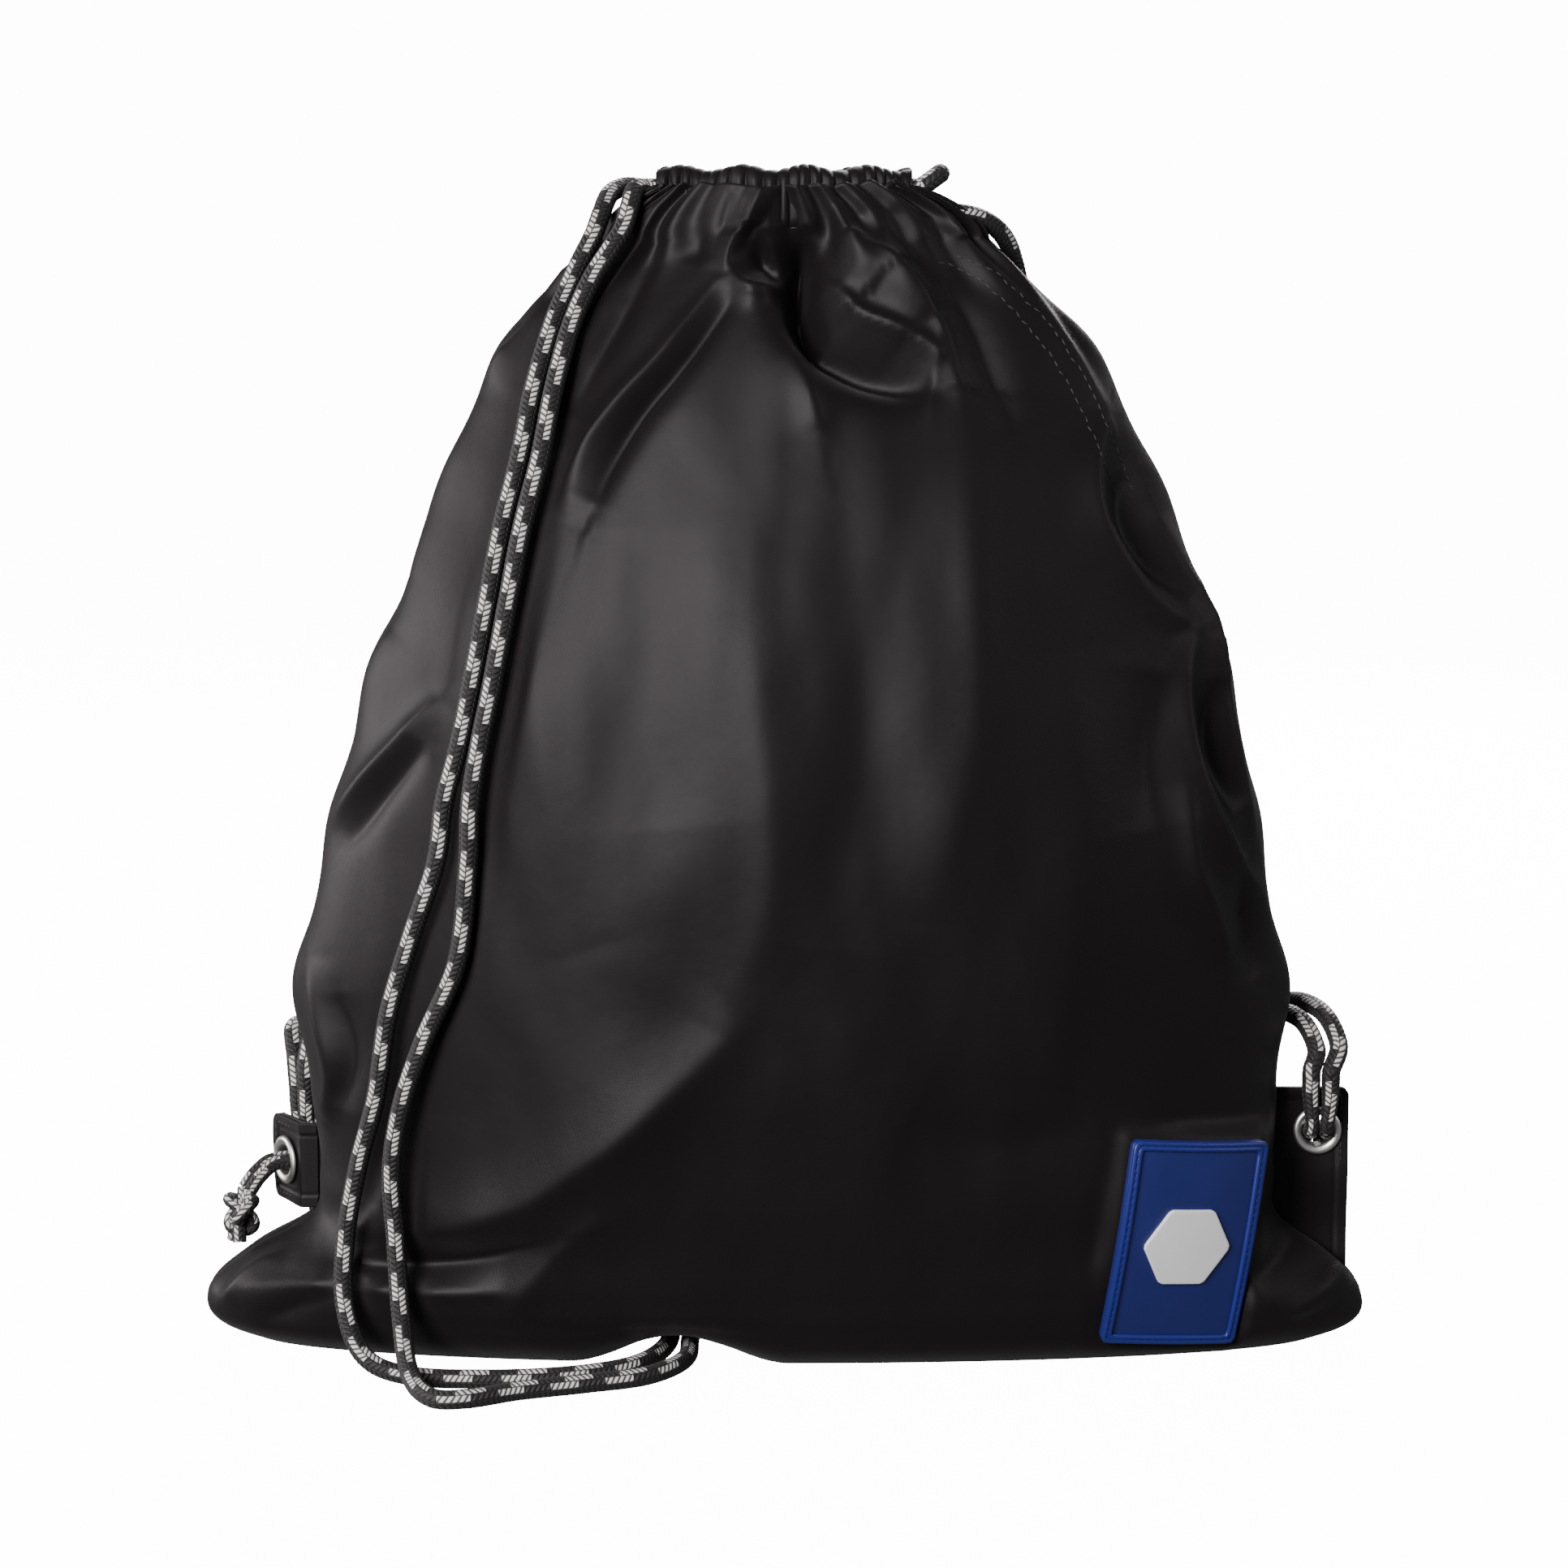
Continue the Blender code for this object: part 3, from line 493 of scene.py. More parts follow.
# Folds of the front cloth, drawn from top to bottom on the front: route of (x, z) points, height
# (negative for a valley), how far it spreads to its left and to its right as seen going down
# the route, and how round its crest is.
FRONT_FOLDS = [
    # the deep pleat below the middle of the mouth, and the dark pocket it opens into
    ([(6, 404), (7, 386), (5, 370), (5, 358), (11, 346)], -19, 4, 4, 1.5),
    ([(4, 362), (10, 349), (22, 341), (36, 336), (50, 334)], -17, 4, 12, 3),
    # the lobe of cloth to the right of it, with its hooked end
    ([(18, 384), (27, 374), (38, 363), (47, 353)], 8, 9, 7, 3),
    ([(13, 396), (22, 383), (33, 374), (45, 361), (54, 347), (58, 331)], 6, 6, 3.5, 1),
    ([(15, 367), (24, 358), (34, 353), (45, 348), (53, 341)], 7, 8, 2, 0.8),
    ([(31, 390), (48, 376), (62, 357), (69, 338), (77, 316)], -6, 4, 9, 2),
    # the curled fold to the left of it
    ([(-6, 402), (-12, 387), (-17, 379), (-19, 370)], 9, 4, 4, 1),
    ([(-18, 372), (-12, 365), (-3, 366)], 6, 3, 3, 1),
    ([(-7, 388), (-8, 377), (-1, 370)], -13, 4, 4, 1.5),
    ([(-22, 400), (-27, 386), (-29, 374)], -5, 4, 4, 2),
    # the long crease that runs down and left from the curl
    ([(-19, 371), (-30, 357), (-42, 342), (-55, 328), (-67, 311), (-76, 290)], 7, 3, 12, 1.2),
    ([(-15, 365), (-25, 352), (-36, 338), (-47, 325), (-57, 308), (-62, 294)], -9, 9, 3, 1.5),
    ([(-29, 398), (-40, 381), (-52, 362), (-63, 343), (-72, 322)], -5, 5, 6, 2),
    ([(-40, 396), (-54, 380), (-66, 362), (-76, 340)], 4, 4, 4, 1.2),
    ([(-2, 362), (3, 347), (8, 334), (12, 318)], 5, 7, 3, 1.5),
    # the shoulders
    ([(22, 402), (45, 391), (68, 377), (86, 358), (99, 338), (110, 312)], 3, 5, 2.5, 1),
    ([(36, 402), (58, 392), (80, 374), (97, 350), (109, 326)], -2.5, 3, 3, 1),
    ([(-76, 361), (-87, 349), (-99, 334)], 4.5, 3, 4, 1),
    ([(-64, 376), (-76, 364), (-88, 352)], 4, 3, 3, 1),
    ([(-70, 368), (-81, 357), (-93, 343)], -3.5, 3, 3, 1),
    # the right side
    ([(107, 324), (101, 307), (102, 291), (112, 274), (124, 261), (134, 253)], 8, 9, 4, 1),
    ([(112, 306), (113, 290), (122, 274), (134, 262)], -6.5, 5, 6, 2),
    ([(124, 292), (131, 274), (140, 254), (147, 220), (159, 178)], 6, 3.5, 5, 1),
    ([(134, 252), (131, 235), (135, 208), (146, 181), (162, 159)], 7.5, 6, 3.5, 1),
    ([(142, 236), (142, 214), (150, 190)], -6, 4, 4, 1.5),
    ([(131, 204), (134, 177), (141, 160), (150, 140)], 5, 5, 3.5, 1),
    ([(126, 240), (121, 214), (124, 188)], -4, 9, 6, 3),
    ([(150, 176), (156, 156), (160, 132)], -4, 4, 4, 1.5),
    # the left side
    ([(-112, 232), (-127, 215), (-141, 199), (-154, 182)], 6.5, 3, 7, 0.8),
    ([(-118, 216), (-134, 197), (-148, 178)], -5, 6, 3, 1.5),
    ([(-104, 332), (-111, 311), (-121, 292), (-128, 268)], 6, 4, 4, 1),
    ([(-110, 330), (-118, 308), (-128, 286)], -4, 4, 4, 1.5),
    ([(-130, 252), (-138, 236), (-148, 214)], 4, 4, 5, 1.2),
    ([(-161, 140), (-156, 120), (-152, 102), (-156, 82)], 5, 4, 4, 1),
    ([(-150, 130), (-146, 108), (-150, 88)], -4, 4, 4, 1.5),
    # the slack above the left bottom corner
    ([(-10, 132), (-42, 99), (-66, 79), (-90, 62), (-118, 51), (-148, 43)], 9, 16, 14, 3),
    ([(-74, 52), (-100, 42), (-130, 37), (-160, 35)], -8, 5, 7, 2),
    ([(-92, 31), (-128, 29), (-158, 27), (-190, 21)], 5, 4, 5, 1.2),
    ([(-58, 62), (-76, 46), (-94, 22)], 4, 7, 9, 2),
    # broad soft facets down the front
    ([(-10, 262), (-8, 230), (-4, 198), (-7, 158), (-23, 123)], 3.5, 12, 16, 4),
    ([(57, 318), (62, 270), (62, 235), (58, 205), (46, 158)], 3.5, 13, 16, 4),
    ([(-84, 292), (-82, 240), (-72, 185), (-60, 150)], 3.0, 15, 16, 4),
    ([(20, 300), (26, 250), (24, 200), (14, 150)], -3.0, 13, 14, 6),
    ([(-46, 290), (-44, 240), (-38, 190)], -2.0, 13, 14, 6),
    ([(90, 250), (96, 190), (92, 140), (84, 100)], 3, 15, 16, 4),
    ([(40, 96), (70, 84), (104, 92)], -3, 13, 16, 5),
    # the left bottom corner, rumpled where its cloth is slack
    ([(-166, 44), (-178, 38), (-192, 27), (-198, 17)], -3.5, 3, 4, 1),
    ([(-172, 34), (-184, 27), (-196, 15)], 3, 3, 3, 1),
    ([(-150, 26), (-168, 19), (-184, 9)], -3, 4, 4, 1.5),
    ([(-136, 58), (-144, 42), (-150, 24)], 3, 4, 4, 1),
    # the right bottom corner
    ([(176, 48), (183, 38), (196, 22)], 3, 3, 4, 1),
    ([(164, 16), (178, 12), (192, 8)], -2.5, 4, 4, 1),
    ([(184, 42), (172, 34), (160, 28)], -4, 4, 5, 2),
    ([(198, 27), (184, 22), (170, 13)], 4, 4, 4, 1.5),
]

# Folds of the back cloth, seen from the front through the bag: the same sort of list.
BACK_FOLDS = [
    ([(-5, 396), (-4, 378), (-8, 358), (-5, 340)], -13, 4, 4, 2),
    ([(12, 392), (16, 374), (26, 350), (34, 322), (36, 296)], 5, 7, 5, 1.5),
    ([(-22, 392), (-28, 372), (-42, 346), (-60, 318), (-70, 290)], 5.5, 4, 9, 1.5),
    ([(-14, 372), (-24, 350), (-36, 326), (-46, 300)], -5, 7, 4, 2),
    ([(34, 386), (54, 362), (70, 334), (80, 304)], -4, 4, 8, 2),
    ([(44, 388), (66, 366), (84, 338), (96, 306)], 4, 4, 5, 1.5),
    ([(-46, 386), (-66, 364), (-84, 334), (-100, 300)], 3.5, 4, 5, 1.5),
    ([(112, 300), (118, 270), (134, 240), (146, 204)], 4, 6, 4, 1.5),
    ([(104, 250), (112, 224), (126, 200), (142, 180)], -3.5, 5, 7, 2),
    ([(-118, 290), (-126, 258), (-124, 226), (-140, 190)], 4.5, 4, 6, 1.5),
    ([(-104, 236), (-112, 206), (-128, 180)], -3, 6, 5, 2),
    ([(152, 140), (146, 112), (150, 84)], 3, 4, 4, 1.5),
    ([(20, 128), (54, 96), (84, 70), (118, 52), (150, 42)], 5, 14, 18, 4),
    ([(-30, 110), (-66, 84), (-100, 62), (-140, 46)], 4.5, 18, 14, 4),
    ([(96, 36), (130, 31), (166, 26)], -3, 5, 5, 2),
    ([(-92, 34), (-130, 30), (-168, 24)], -3, 5, 5, 2),
    ([(10, 286), (4, 240), (8, 190), (2, 140)], 2.4, 15, 16, 5),
    ([(-64, 270), (-60, 220), (-66, 170)], 2.0, 16, 16, 5),
    ([(66, 270), (60, 214), (66, 160)], -2.0, 16, 16, 5),
]


def fold_height(x, z, fold):
    """Height of one fold at each point: an exponential flank on each side of a rounded crest."""
    route, height, left_width, right_width, roundness = fold
    line = smooth_path([(a, b, 0) for a, b in route], 4.0)[:, :2]
    position = np.stack([x, z], axis=-1)[..., None, :]
    start, along = line[:-1], np.diff(line, axis=0)
    share = np.clip(((position - start) * along).sum(-1) / (along ** 2).sum(-1), 0, 1)
    offset = position - start - share[..., None] * along
    distance = np.linalg.norm(offset, axis=-1)
    nearest = distance.argmin(-1)
    pick = (*np.indices(nearest.shape), nearest)
    away = distance[pick]
    turn = along[nearest, 0] * offset[pick][..., 1] - along[nearest, 1] * offset[pick][..., 0]
    width = np.where(turn > 0, right_width, left_width)
    progress = (nearest + share[pick]) / len(along)
    taper = np.sin(np.pi * np.clip(progress, 0.02, 0.98)) ** 0.6
    flank = np.exp(-(np.sqrt(away ** 2 + roundness ** 2) - roundness) / width)
    return height * taper * flank


def rumple(x, z, side):
    """Small irregular swells, longer down the cloth than across it."""
    out = np.empty(x.shape)
    for index in np.ndindex(x.shape):
        a, b = float(x[index]), float(z[index])
        slow = noise.noise(Vector((a / 34, b / 70, 3.1 * side)))
        quick = noise.noise(Vector((a / 13, b / 30, 7.7 * side)))
        out[index] = 1.7 * slow + 0.5 * quick
    return out


def panel_grid(side):
    """Points of one panel before its folds, in millimetres, as rows of columns."""
    angle = np.pi * (np.linspace(0, 1, PANEL_COLUMNS + 1) - 0.5)
    heights = np.concatenate([
        np.full(BASE_ROWS, BASE_Z),
        BASE_Z + (BAG_LEVELS[-1][0] - BASE_Z) * np.linspace(0, 1, BODY_ROWS + 1) ** 1.04,
        np.full(NECK_ROWS, BAG_LEVELS[-1][0]),
    ])
    left, right, depth = level_at(heights)
    x = (left + right)[:, None] / 2 + (right - left)[:, None] / 2 * np.sin(angle)
    y = np.maximum(0.15, depth[:, None] * np.cos(angle))
    z = np.repeat(heights[:, None], len(angle), axis=1)
    z = z + cord_lift(x, z)
    base = np.linspace(0, 1, BASE_ROWS, endpoint=False)[:, None]
    x[:BASE_ROWS] = BASE_SEAM_HALF * np.sin(angle) * (1 - base) + x[BASE_ROWS] * base
    y[:BASE_ROWS] = 0.15 + (y[BASE_ROWS] - 0.15) * base
    z[:BASE_ROWS] = BASE_Z + cord_lift(x[:BASE_ROWS], BASE_Z)
    neck = np.linspace(0, 1, NECK_ROWS + 1)[1:, None]
    pull = neck ** 1.8
    spread = neck ** 0.7
    share = np.sin(angle) * 0.985
    x[-NECK_ROWS:] = x[-NECK_ROWS:] * (1 - pull) + MOUTH_HALF_LENGTH * share * pull
    y[-NECK_ROWS:] = y[-NECK_ROWS:] * (1 - spread) + (lip_y(share) + CHANNEL_THICK / 2 + 0.5) * spread
    z[-NECK_ROWS:] = z[-NECK_ROWS:] + (NECK_TOP - BAG_LEVELS[-1][0]) * neck
    y = soften_rows(y, smoothstep(z, 340, 360) * (1 - smoothstep(z, 396, 400)), 14)
    return np.stack([x, side * y, z], axis=-1), angle


def soften_rows(values, weight, reach):
    """Averages each value with its neighbours in the rows above and below, where weight is 1."""
    kernel = np.hanning(2 * reach + 3)[1:-1]
    kernel /= kernel.sum()
    padded = np.pad(values, ((reach, reach), (0, 0)), mode="edge")
    softer = sum(share * padded[i:i + len(values)] for i, share in enumerate(kernel))
    return values + (softer - values) * weight


def outward(points, side):
    across = np.gradient(points, axis=1)
    up = np.gradient(points, axis=0)
    normal = np.cross(across, up) * -side
    return normal / np.maximum(1e-9, np.linalg.norm(normal, axis=-1, keepdims=True))


def beside(points, routes, reach):
    """1 next to any of the cords' routes, falling to 0 past their reach."""
    tree_points = np.concatenate([smooth_path(route, 4.0) for route in routes])
    tree = kdtree.KDTree(len(tree_points))
    for i, point in enumerate(tree_points):
        tree.insert(point, i)
    tree.balance()
    flat = points.reshape(-1, 3)
    away = np.array([tree.find(point)[2] for point in flat]).reshape(points.shape[:2])
    return 1 - smoothstep(away, reach, reach * 2.2)


def build_panel(name, side, folds, routes):
    points, angle = panel_grid(side)
    x, z = points[..., 0], points[..., 2]
    height = sum(fold_height(x, z, fold) for fold in folds)
    height = np.where(height < 0, height * (1 - smoothstep(z, 374, 388)), height)
    edge = smoothstep(np.cos(angle), 0.02, 0.30)[None, :]
    height = (height + rumple(x, z, side)) * edge
    pleats = np.sin(27 * angle + 1.4 * np.sin(5 * angle + side)) + 0.5 * np.sin(16 * angle + 2 * side)
    height += pleats[None, :] * 1.5 * smoothstep(z, 352, 386) * edge
    floor_fade = smoothstep(z, 4, 22)
    height = height * floor_fade
    ripple = 1.6 * np.sin(z / 9.0) + 1.4 * np.sin(z / 17.0 + 1.0)
    height += ripple * (1 - edge) * smoothstep(z, 60, 110) * (1 - smoothstep(z, 340, 375))
    pucker = np.exp(-np.cos(angle) / 0.05)[None, :]
    height -= 1.3 * pucker * floor_fade
    near_cord = beside(points, routes, 7.0)
    height = height * (1 - near_cord) + np.minimum(height, -0.2) * near_cord
    behind_patch = over_patch(x, z) if side < 0 else np.zeros_like(x)
    height = height * (1 - behind_patch)
    points = points + outward(points, side) * (CLOTH_FACE + height)[..., None]
    held = patch_y(points[..., 0], points[..., 2]) - PATCH_HEIGHT_OVER_CLOTH + 0.5
    points[..., 1] += (held - points[..., 1]) * behind_patch
    points[..., 2] = np.maximum(points[..., 2], 0.15)
    points[..., 1] = side * np.maximum(side * points[..., 1], 0.12)
    across = np.linalg.norm(np.diff(points, axis=1, prepend=points[:, :1]), axis=-1).cumsum(1)
    across -= across[:, PANEL_COLUMNS // 2][:, None]
    up = np.linalg.norm(np.diff(points, axis=0, prepend=points[:1]), axis=-1).cumsum(0)
    uvs = np.stack([across, np.repeat(up[:, PANEL_COLUMNS // 2][:, None], up.shape[1], axis=1)], axis=-1) * MM
    order = slice(None) if side < 0 else slice(None, None, -1)
    mesh = sheet_mesh(name, points[:, order] * MM, uvs[:, order])
    panel = add_object(name, mesh, TWILL)
    shell = panel.modifiers.new("Cloth", "SOLIDIFY")
    shell.thickness = CLOTH_THICK * MM
    shell.offset = -1
    return panel, points


def bake(obj):
    """Applies an object's modifiers."""
    evaluated = obj.evaluated_get(bpy.context.evaluated_depsgraph_get())
    mesh = bpy.data.meshes.new_from_object(evaluated)
    old = obj.data
    obj.modifiers.clear()
    obj.data = mesh
    bpy.data.meshes.remove(old)
    mesh.name = obj.name
    mesh.shade_smooth()


# ---------------------------------------------------------------- cord routes, as in the CAD

LEFT_STRAND_A = [
    (-43.8, 7, 399.3), (-47, 7, 399.3), (-53.5, 4, 400), (-58.5, -4, 397.5), (-61, -11.5, 391.5),
    (-63.5, -17, 384), (-68, -20, 375), (-72.5, -23, 365), (-77, -27, 354), (-83, -35, 333),
    (-87, -43, 312), (-93, -48, 288), (-98, -54, 262), (-103, -58, 236), (-107, -60, 217),
    (-112, -61, 198), (-115, -61, 178), (-124, -58, 152), (-132, -56, 126), (-137, -52, 97),
    (-144, -46, 72), (-149, -43, 46), (-149, -48, 24), (-142, -56, 9), (-127, -62, 3.9),
    (-100, -66, 3.8), (-72, -62, 3.8), (-51, -50, 3.8), (-40.8, -28, 3.9), (-39.6, 0, 3.9),
    (-41, 30, 3.9), (-48, 56, 3.8), (-68, 78, 3.8), (-98, 86, 3.8), (-130, 78, 3.8),
    (-152, 60, 8), (-160, 46, 24), (-159, 39, 50), (-159, 37, 80), (-161, 31, 100),
    (-166.5, 17.5, 103.5), (-168.5, 10.4, 94), (-168.4, 10.2, 84), (-168.4, 10.2, 79.3),
]
LEFT_STRAND_B = [
    (-43.8, -7, 399.3), (-46.3, -7, 399.3), (-49.8, -12.3, 398.6), (-51.5, -18, 393),
    (-53.5, -21, 386), (-58, -23.5, 378.5), (-64, -26, 369), (-70.5, -31, 354), (-76, -40, 333),
    (-80, -47, 312), (-86, -53, 288), (-91, -58, 262), (-96, -62, 236), (-100, -64, 217),
    (-103, -66, 198), (-104, -66, 178), (-108, -65, 146), (-120, -61, 118), (-128, -57, 95),
    (-132, -53, 72), (-131, -52, 48), (-129, -58, 24), (-125, -72, 8), (-117, -86, 3.9),
    (-105, -88, 3.8), (-88, -79, 3.8), (-66, -71, 3.8), (-46, -62, 3.8), (-34, -44, 3.9),
    (-32.6, -20, 3.9), (-32.6, 10, 3.9), (-34, 40, 3.9), (-40, 66, 3.8), (-60, 88, 3.8),
    (-96, 95, 3.8), (-136, 86, 3.8), (-161, 68, 9), (-170, 52, 28), (-168, 46, 54),
    (-168, 43, 84), (-170, 36, 102), (-174.5, 25, 105), (-173, 17.4, 96), (-172.1, 16.1, 84),
    (-172.1, 16.1, 79.3),
]
RIGHT_STRAND_A = [
    (43.8, -7, 391), (49, -7, 391), (58, -8, 391), (67, -4, 389), (74.5, 4, 383.5),
    (79, 13, 374), (82.5, 26, 357), (80, 40, 335), (77, 51, 312), (73, 61, 287), (69, 70, 259),
    (64, 77, 229), (61, 81, 196), (60, 83, 164), (61, 84, 130), (63, 84, 98), (65, 84, 72),
    (68, 85, 44), (72, 88, 20), (80, 97, 7), (92, 107, 3.8), (112, 112, 3.8), (138, 104, 3.8),
    (158, 88, 3.8), (168, 66, 8), (167, 48, 26), (164.5, 39, 54), (163, 38, 84), (166, 33, 103),
    (173.5, 19, 112), (181, 4, 112), (185, -6, 104), (183.3, -8.2, 97), (183.2, -8, 93), (183.2, -8, 88.4),
]
RIGHT_STRAND_B = [
    (43.8, 7, 391), (48, 7, 391), (54, 9.5, 391.5), (60.5, 13, 388.5), (66.5, 18, 381.5),
    (69.5, 24.5, 372), (72, 33.5, 356), (72, 43.5, 336), (69, 54.5, 312), (65, 64, 287),
    (60.5, 72, 259), (56, 79, 229), (53, 83, 196), (52, 85, 164), (53, 86, 130), (55, 86, 98),
    (57, 86, 72), (59.5, 87, 44), (62.5, 92, 20), (69, 103, 7), (84, 116, 3.8), (112, 121, 3.8),
    (144, 112, 3.8), (166, 94, 4), (177, 72, 10), (175, 54, 28), (172.5, 47, 54), (171, 46, 84),
    (174, 40, 106), (181, 24, 115), (189, 7, 114), (193, -4.5, 105), (190.2, -8.2, 97),
    (190, -8, 93), (190, -8, 88.4),
]
# The last stretch of each strand, through the eyelet to the knot, in the tab's own frame.
LEFT_TAIL_A = [
    (8.6, -5.5, 18), (8.6, -5.7, 13), (8.5, -7.4, 8.5), (8.4, -8.4, 4), (8.4, -6.6, 0.9),
    (8.4, -4.4, 0), (8.4, 0, 0), (8.4, 4, 0), (8.6, 8, -0.8), (8.6, 13, -4.5), (8.6, 16.5, -8.8),
]
LEFT_TAIL_B = [
    (15.6, -5.5, 18), (15.2, -5.7, 13), (14.2, -7.4, 8.5), (13.6, -8.4, 4), (13.6, -6.6, 0.9),
    (13.6, -4.4, 0), (13.6, 0, 0), (13.6, 4, 0), (13.8, 8, -0.8), (13.8, 13, -4.5),
    (13.8, 16.5, -8.8),
]
RIGHT_TAIL_A = [
    (7.7, -8, 14), (8.0, -8.3, 9), (8.4, -8.2, 4), (8.4, -6.4, 0.9), (8.4, -4.4, 0), (8.4, 0, 0),
    (8.4, 4.6, 0), (8.4, 7.8, -2), (8.4, 9.8, -7.8),
]
RIGHT_TAIL_B = [
    (14.5, -8, 14), (14.2, -8.3, 9), (13.6, -8.2, 4), (13.6, -6.4, 0.9), (13.6, -4.4, 0),
    (13.6, 0, 0), (13.6, 4.6, 0), (13.6, 7.8, -2), (13.6, 9.8, -7.8),
]
LEFT_KNOT = (11.2, 19.0, -16.8)
RIGHT_KNOT = (11.0, 11.5, -15.0)


def in_tab_frame(points, hinge, turn):
    """Points of a tab's own frame in the bag's frame, still in millimetres."""
    place = Matrix.Translation(Vector(hinge)) @ Matrix.Rotation(turn, 4, "Z")
    return [tuple(place @ Vector(point)) for point in points]


def tube_rows(path, radii, facing):
    """Rings of points around a path. The first side of each ring looks towards facing."""
    along = np.gradient(path, axis=0)
    along /= np.linalg.norm(along, axis=1, keepdims=True)
    first = facing - along * (along @ facing)[:, None]
    first /= np.maximum(1e-9, np.linalg.norm(first, axis=1, keepdims=True))
    second = np.cross(along, first)
    turns = 2 * np.pi * (np.arange(CORD_SIDES) / CORD_SIDES - 0.125)
    ring = first[:, None] * np.cos(turns)[:, None] + second[:, None] * np.sin(turns)[:, None]
    return path[:, None] + ring * np.asarray(radii)[:, None, None]


def braided_tube(name, path, radii, start=0.0, facing=(0, -0.75, 0.65)):
    """A cord along a path in millimetres; start is how far along the whole cord it begins."""
    radii = np.broadcast_to(radii, len(path)).astype(float)
    lengths = start + np.concatenate([[0], np.cumsum(np.linalg.norm(np.diff(path, axis=0), axis=1))])
    rows = tube_rows(path, radii, np.array(facing, float))
    around = np.arange(CORD_SIDES) / CORD_SIDES
    swell = np.sin(2 * np.pi * (lengths[:, None] / STITCH_PITCH + 4 * around)) * np.cos(8 * np.pi * around)
    rows = path[:, None] + (rows - path[:, None]) * (1 + 0.03 * swell)[..., None]
    rows = np.concatenate([np.repeat(path[:1, None], CORD_SIDES, axis=1), rows,
                           np.repeat(path[-1:, None], CORD_SIDES, axis=1)])
    lengths = np.concatenate([lengths[:1], lengths, lengths[-1:]])
    uvs = np.stack(np.broadcast_arrays(lengths[:, None] * MM, around[None, :]), axis=-1)
    return add_object(name, sheet_mesh(name, rows * MM, uvs, closed_u=True), BRAID)


def path_length(path):
    return float(np.linalg.norm(np.diff(path, axis=0), axis=1).sum())


def build_strap_strand(side_name, strand, route, tail, hinge, turn):
    """One strand, from the mouth to the ground behind the bag, and on through the eyelet."""
    tail = in_tab_frame(tail, hinge, turn)
    path = smooth_path(route + tail[1:], CORD_STEP)
    rising = int(np.flatnonzero(path[:, 2] < 30)[-1])
    name = f"{side_name}_strand_{strand}"
    strap, onward = path[:rising + 1], path[rising:]
    obj = braided_tube(name + "_braid", strap, CORD_RADIUS)
    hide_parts(name + "_upper", name + "_lower")
    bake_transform(obj)

    to_tail = np.linalg.norm(onward - np.array(tail[0]), axis=1).argmin() * CORD_STEP
    lengths = np.arange(len(onward)) * CORD_STEP
    squeeze = smoothstep(lengths, to_tail - 6, to_tail + 12)
    radii = CORD_RADIUS + (SQUEEZED_RADIUS - CORD_RADIUS) * squeeze
    name = f"{side_name}_tail_{strand}"
    obj = braided_tube(name + "_braid", onward, radii, start=path_length(strap))
    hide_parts(name)
    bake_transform(obj)


def build_knot(side_name, centre, tails, hinge, turn):
    """The two strands run into one overhand knot, and their cut ends stick out below it."""
    t = np.linspace(0, 2 * np.pi, 150)
    size = 2.15
    loop = np.stack([np.sin(t) + 2 * np.sin(2 * t), -1.5 * np.sin(3 * t),
                     np.cos(t) - 2 * np.cos(2 * t)], axis=1) * size + np.array(centre)
    knot = braided_tube(f"{side_name}_knot_braid", np.array(in_tab_frame(loop, hinge, turn)), 2.4)
    middle = Vector(centre)
    for strand, lean, tail in (("a", -1, tails[0]), ("b", 1, tails[1])):
        route = [Vector(tail[-1]), middle, middle + Vector((1.5 * lean, 1.5, -5)),
                 middle + Vector((2.6 * lean, 2.0, -10))]
        end = braided_tube(f"{side_name}_cut_end_{strand}",
                           smooth_path(in_tab_frame(route, hinge, turn), CORD_STEP), SQUEEZED_RADIUS)
        end.parent = knot
    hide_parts(side_name + "_knot")
    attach(knot, side_name + "_tab")
    return knot


def build_straps():
    left_knot = build_knot("left", LEFT_KNOT, (LEFT_TAIL_A, LEFT_TAIL_B),
                           LEFT_TAB_HINGE, LEFT_TAB_TURN)
    right_knot = build_knot("right", RIGHT_KNOT, (RIGHT_TAIL_A, RIGHT_TAIL_B),
                            RIGHT_TAB_HINGE, RIGHT_TAB_TURN)
    for strand, route, tail in (("a", LEFT_STRAND_A, LEFT_TAIL_A), ("b", LEFT_STRAND_B, LEFT_TAIL_B)):
        build_strap_strand("left", strand, route, tail, LEFT_TAB_HINGE, LEFT_TAB_TURN)
    for strand, route, tail in (("a", RIGHT_STRAND_A, RIGHT_TAIL_A), ("b", RIGHT_STRAND_B, RIGHT_TAIL_B)):
        build_strap_strand("right", strand, route, tail, RIGHT_TAB_HINGE, RIGHT_TAB_TURN)


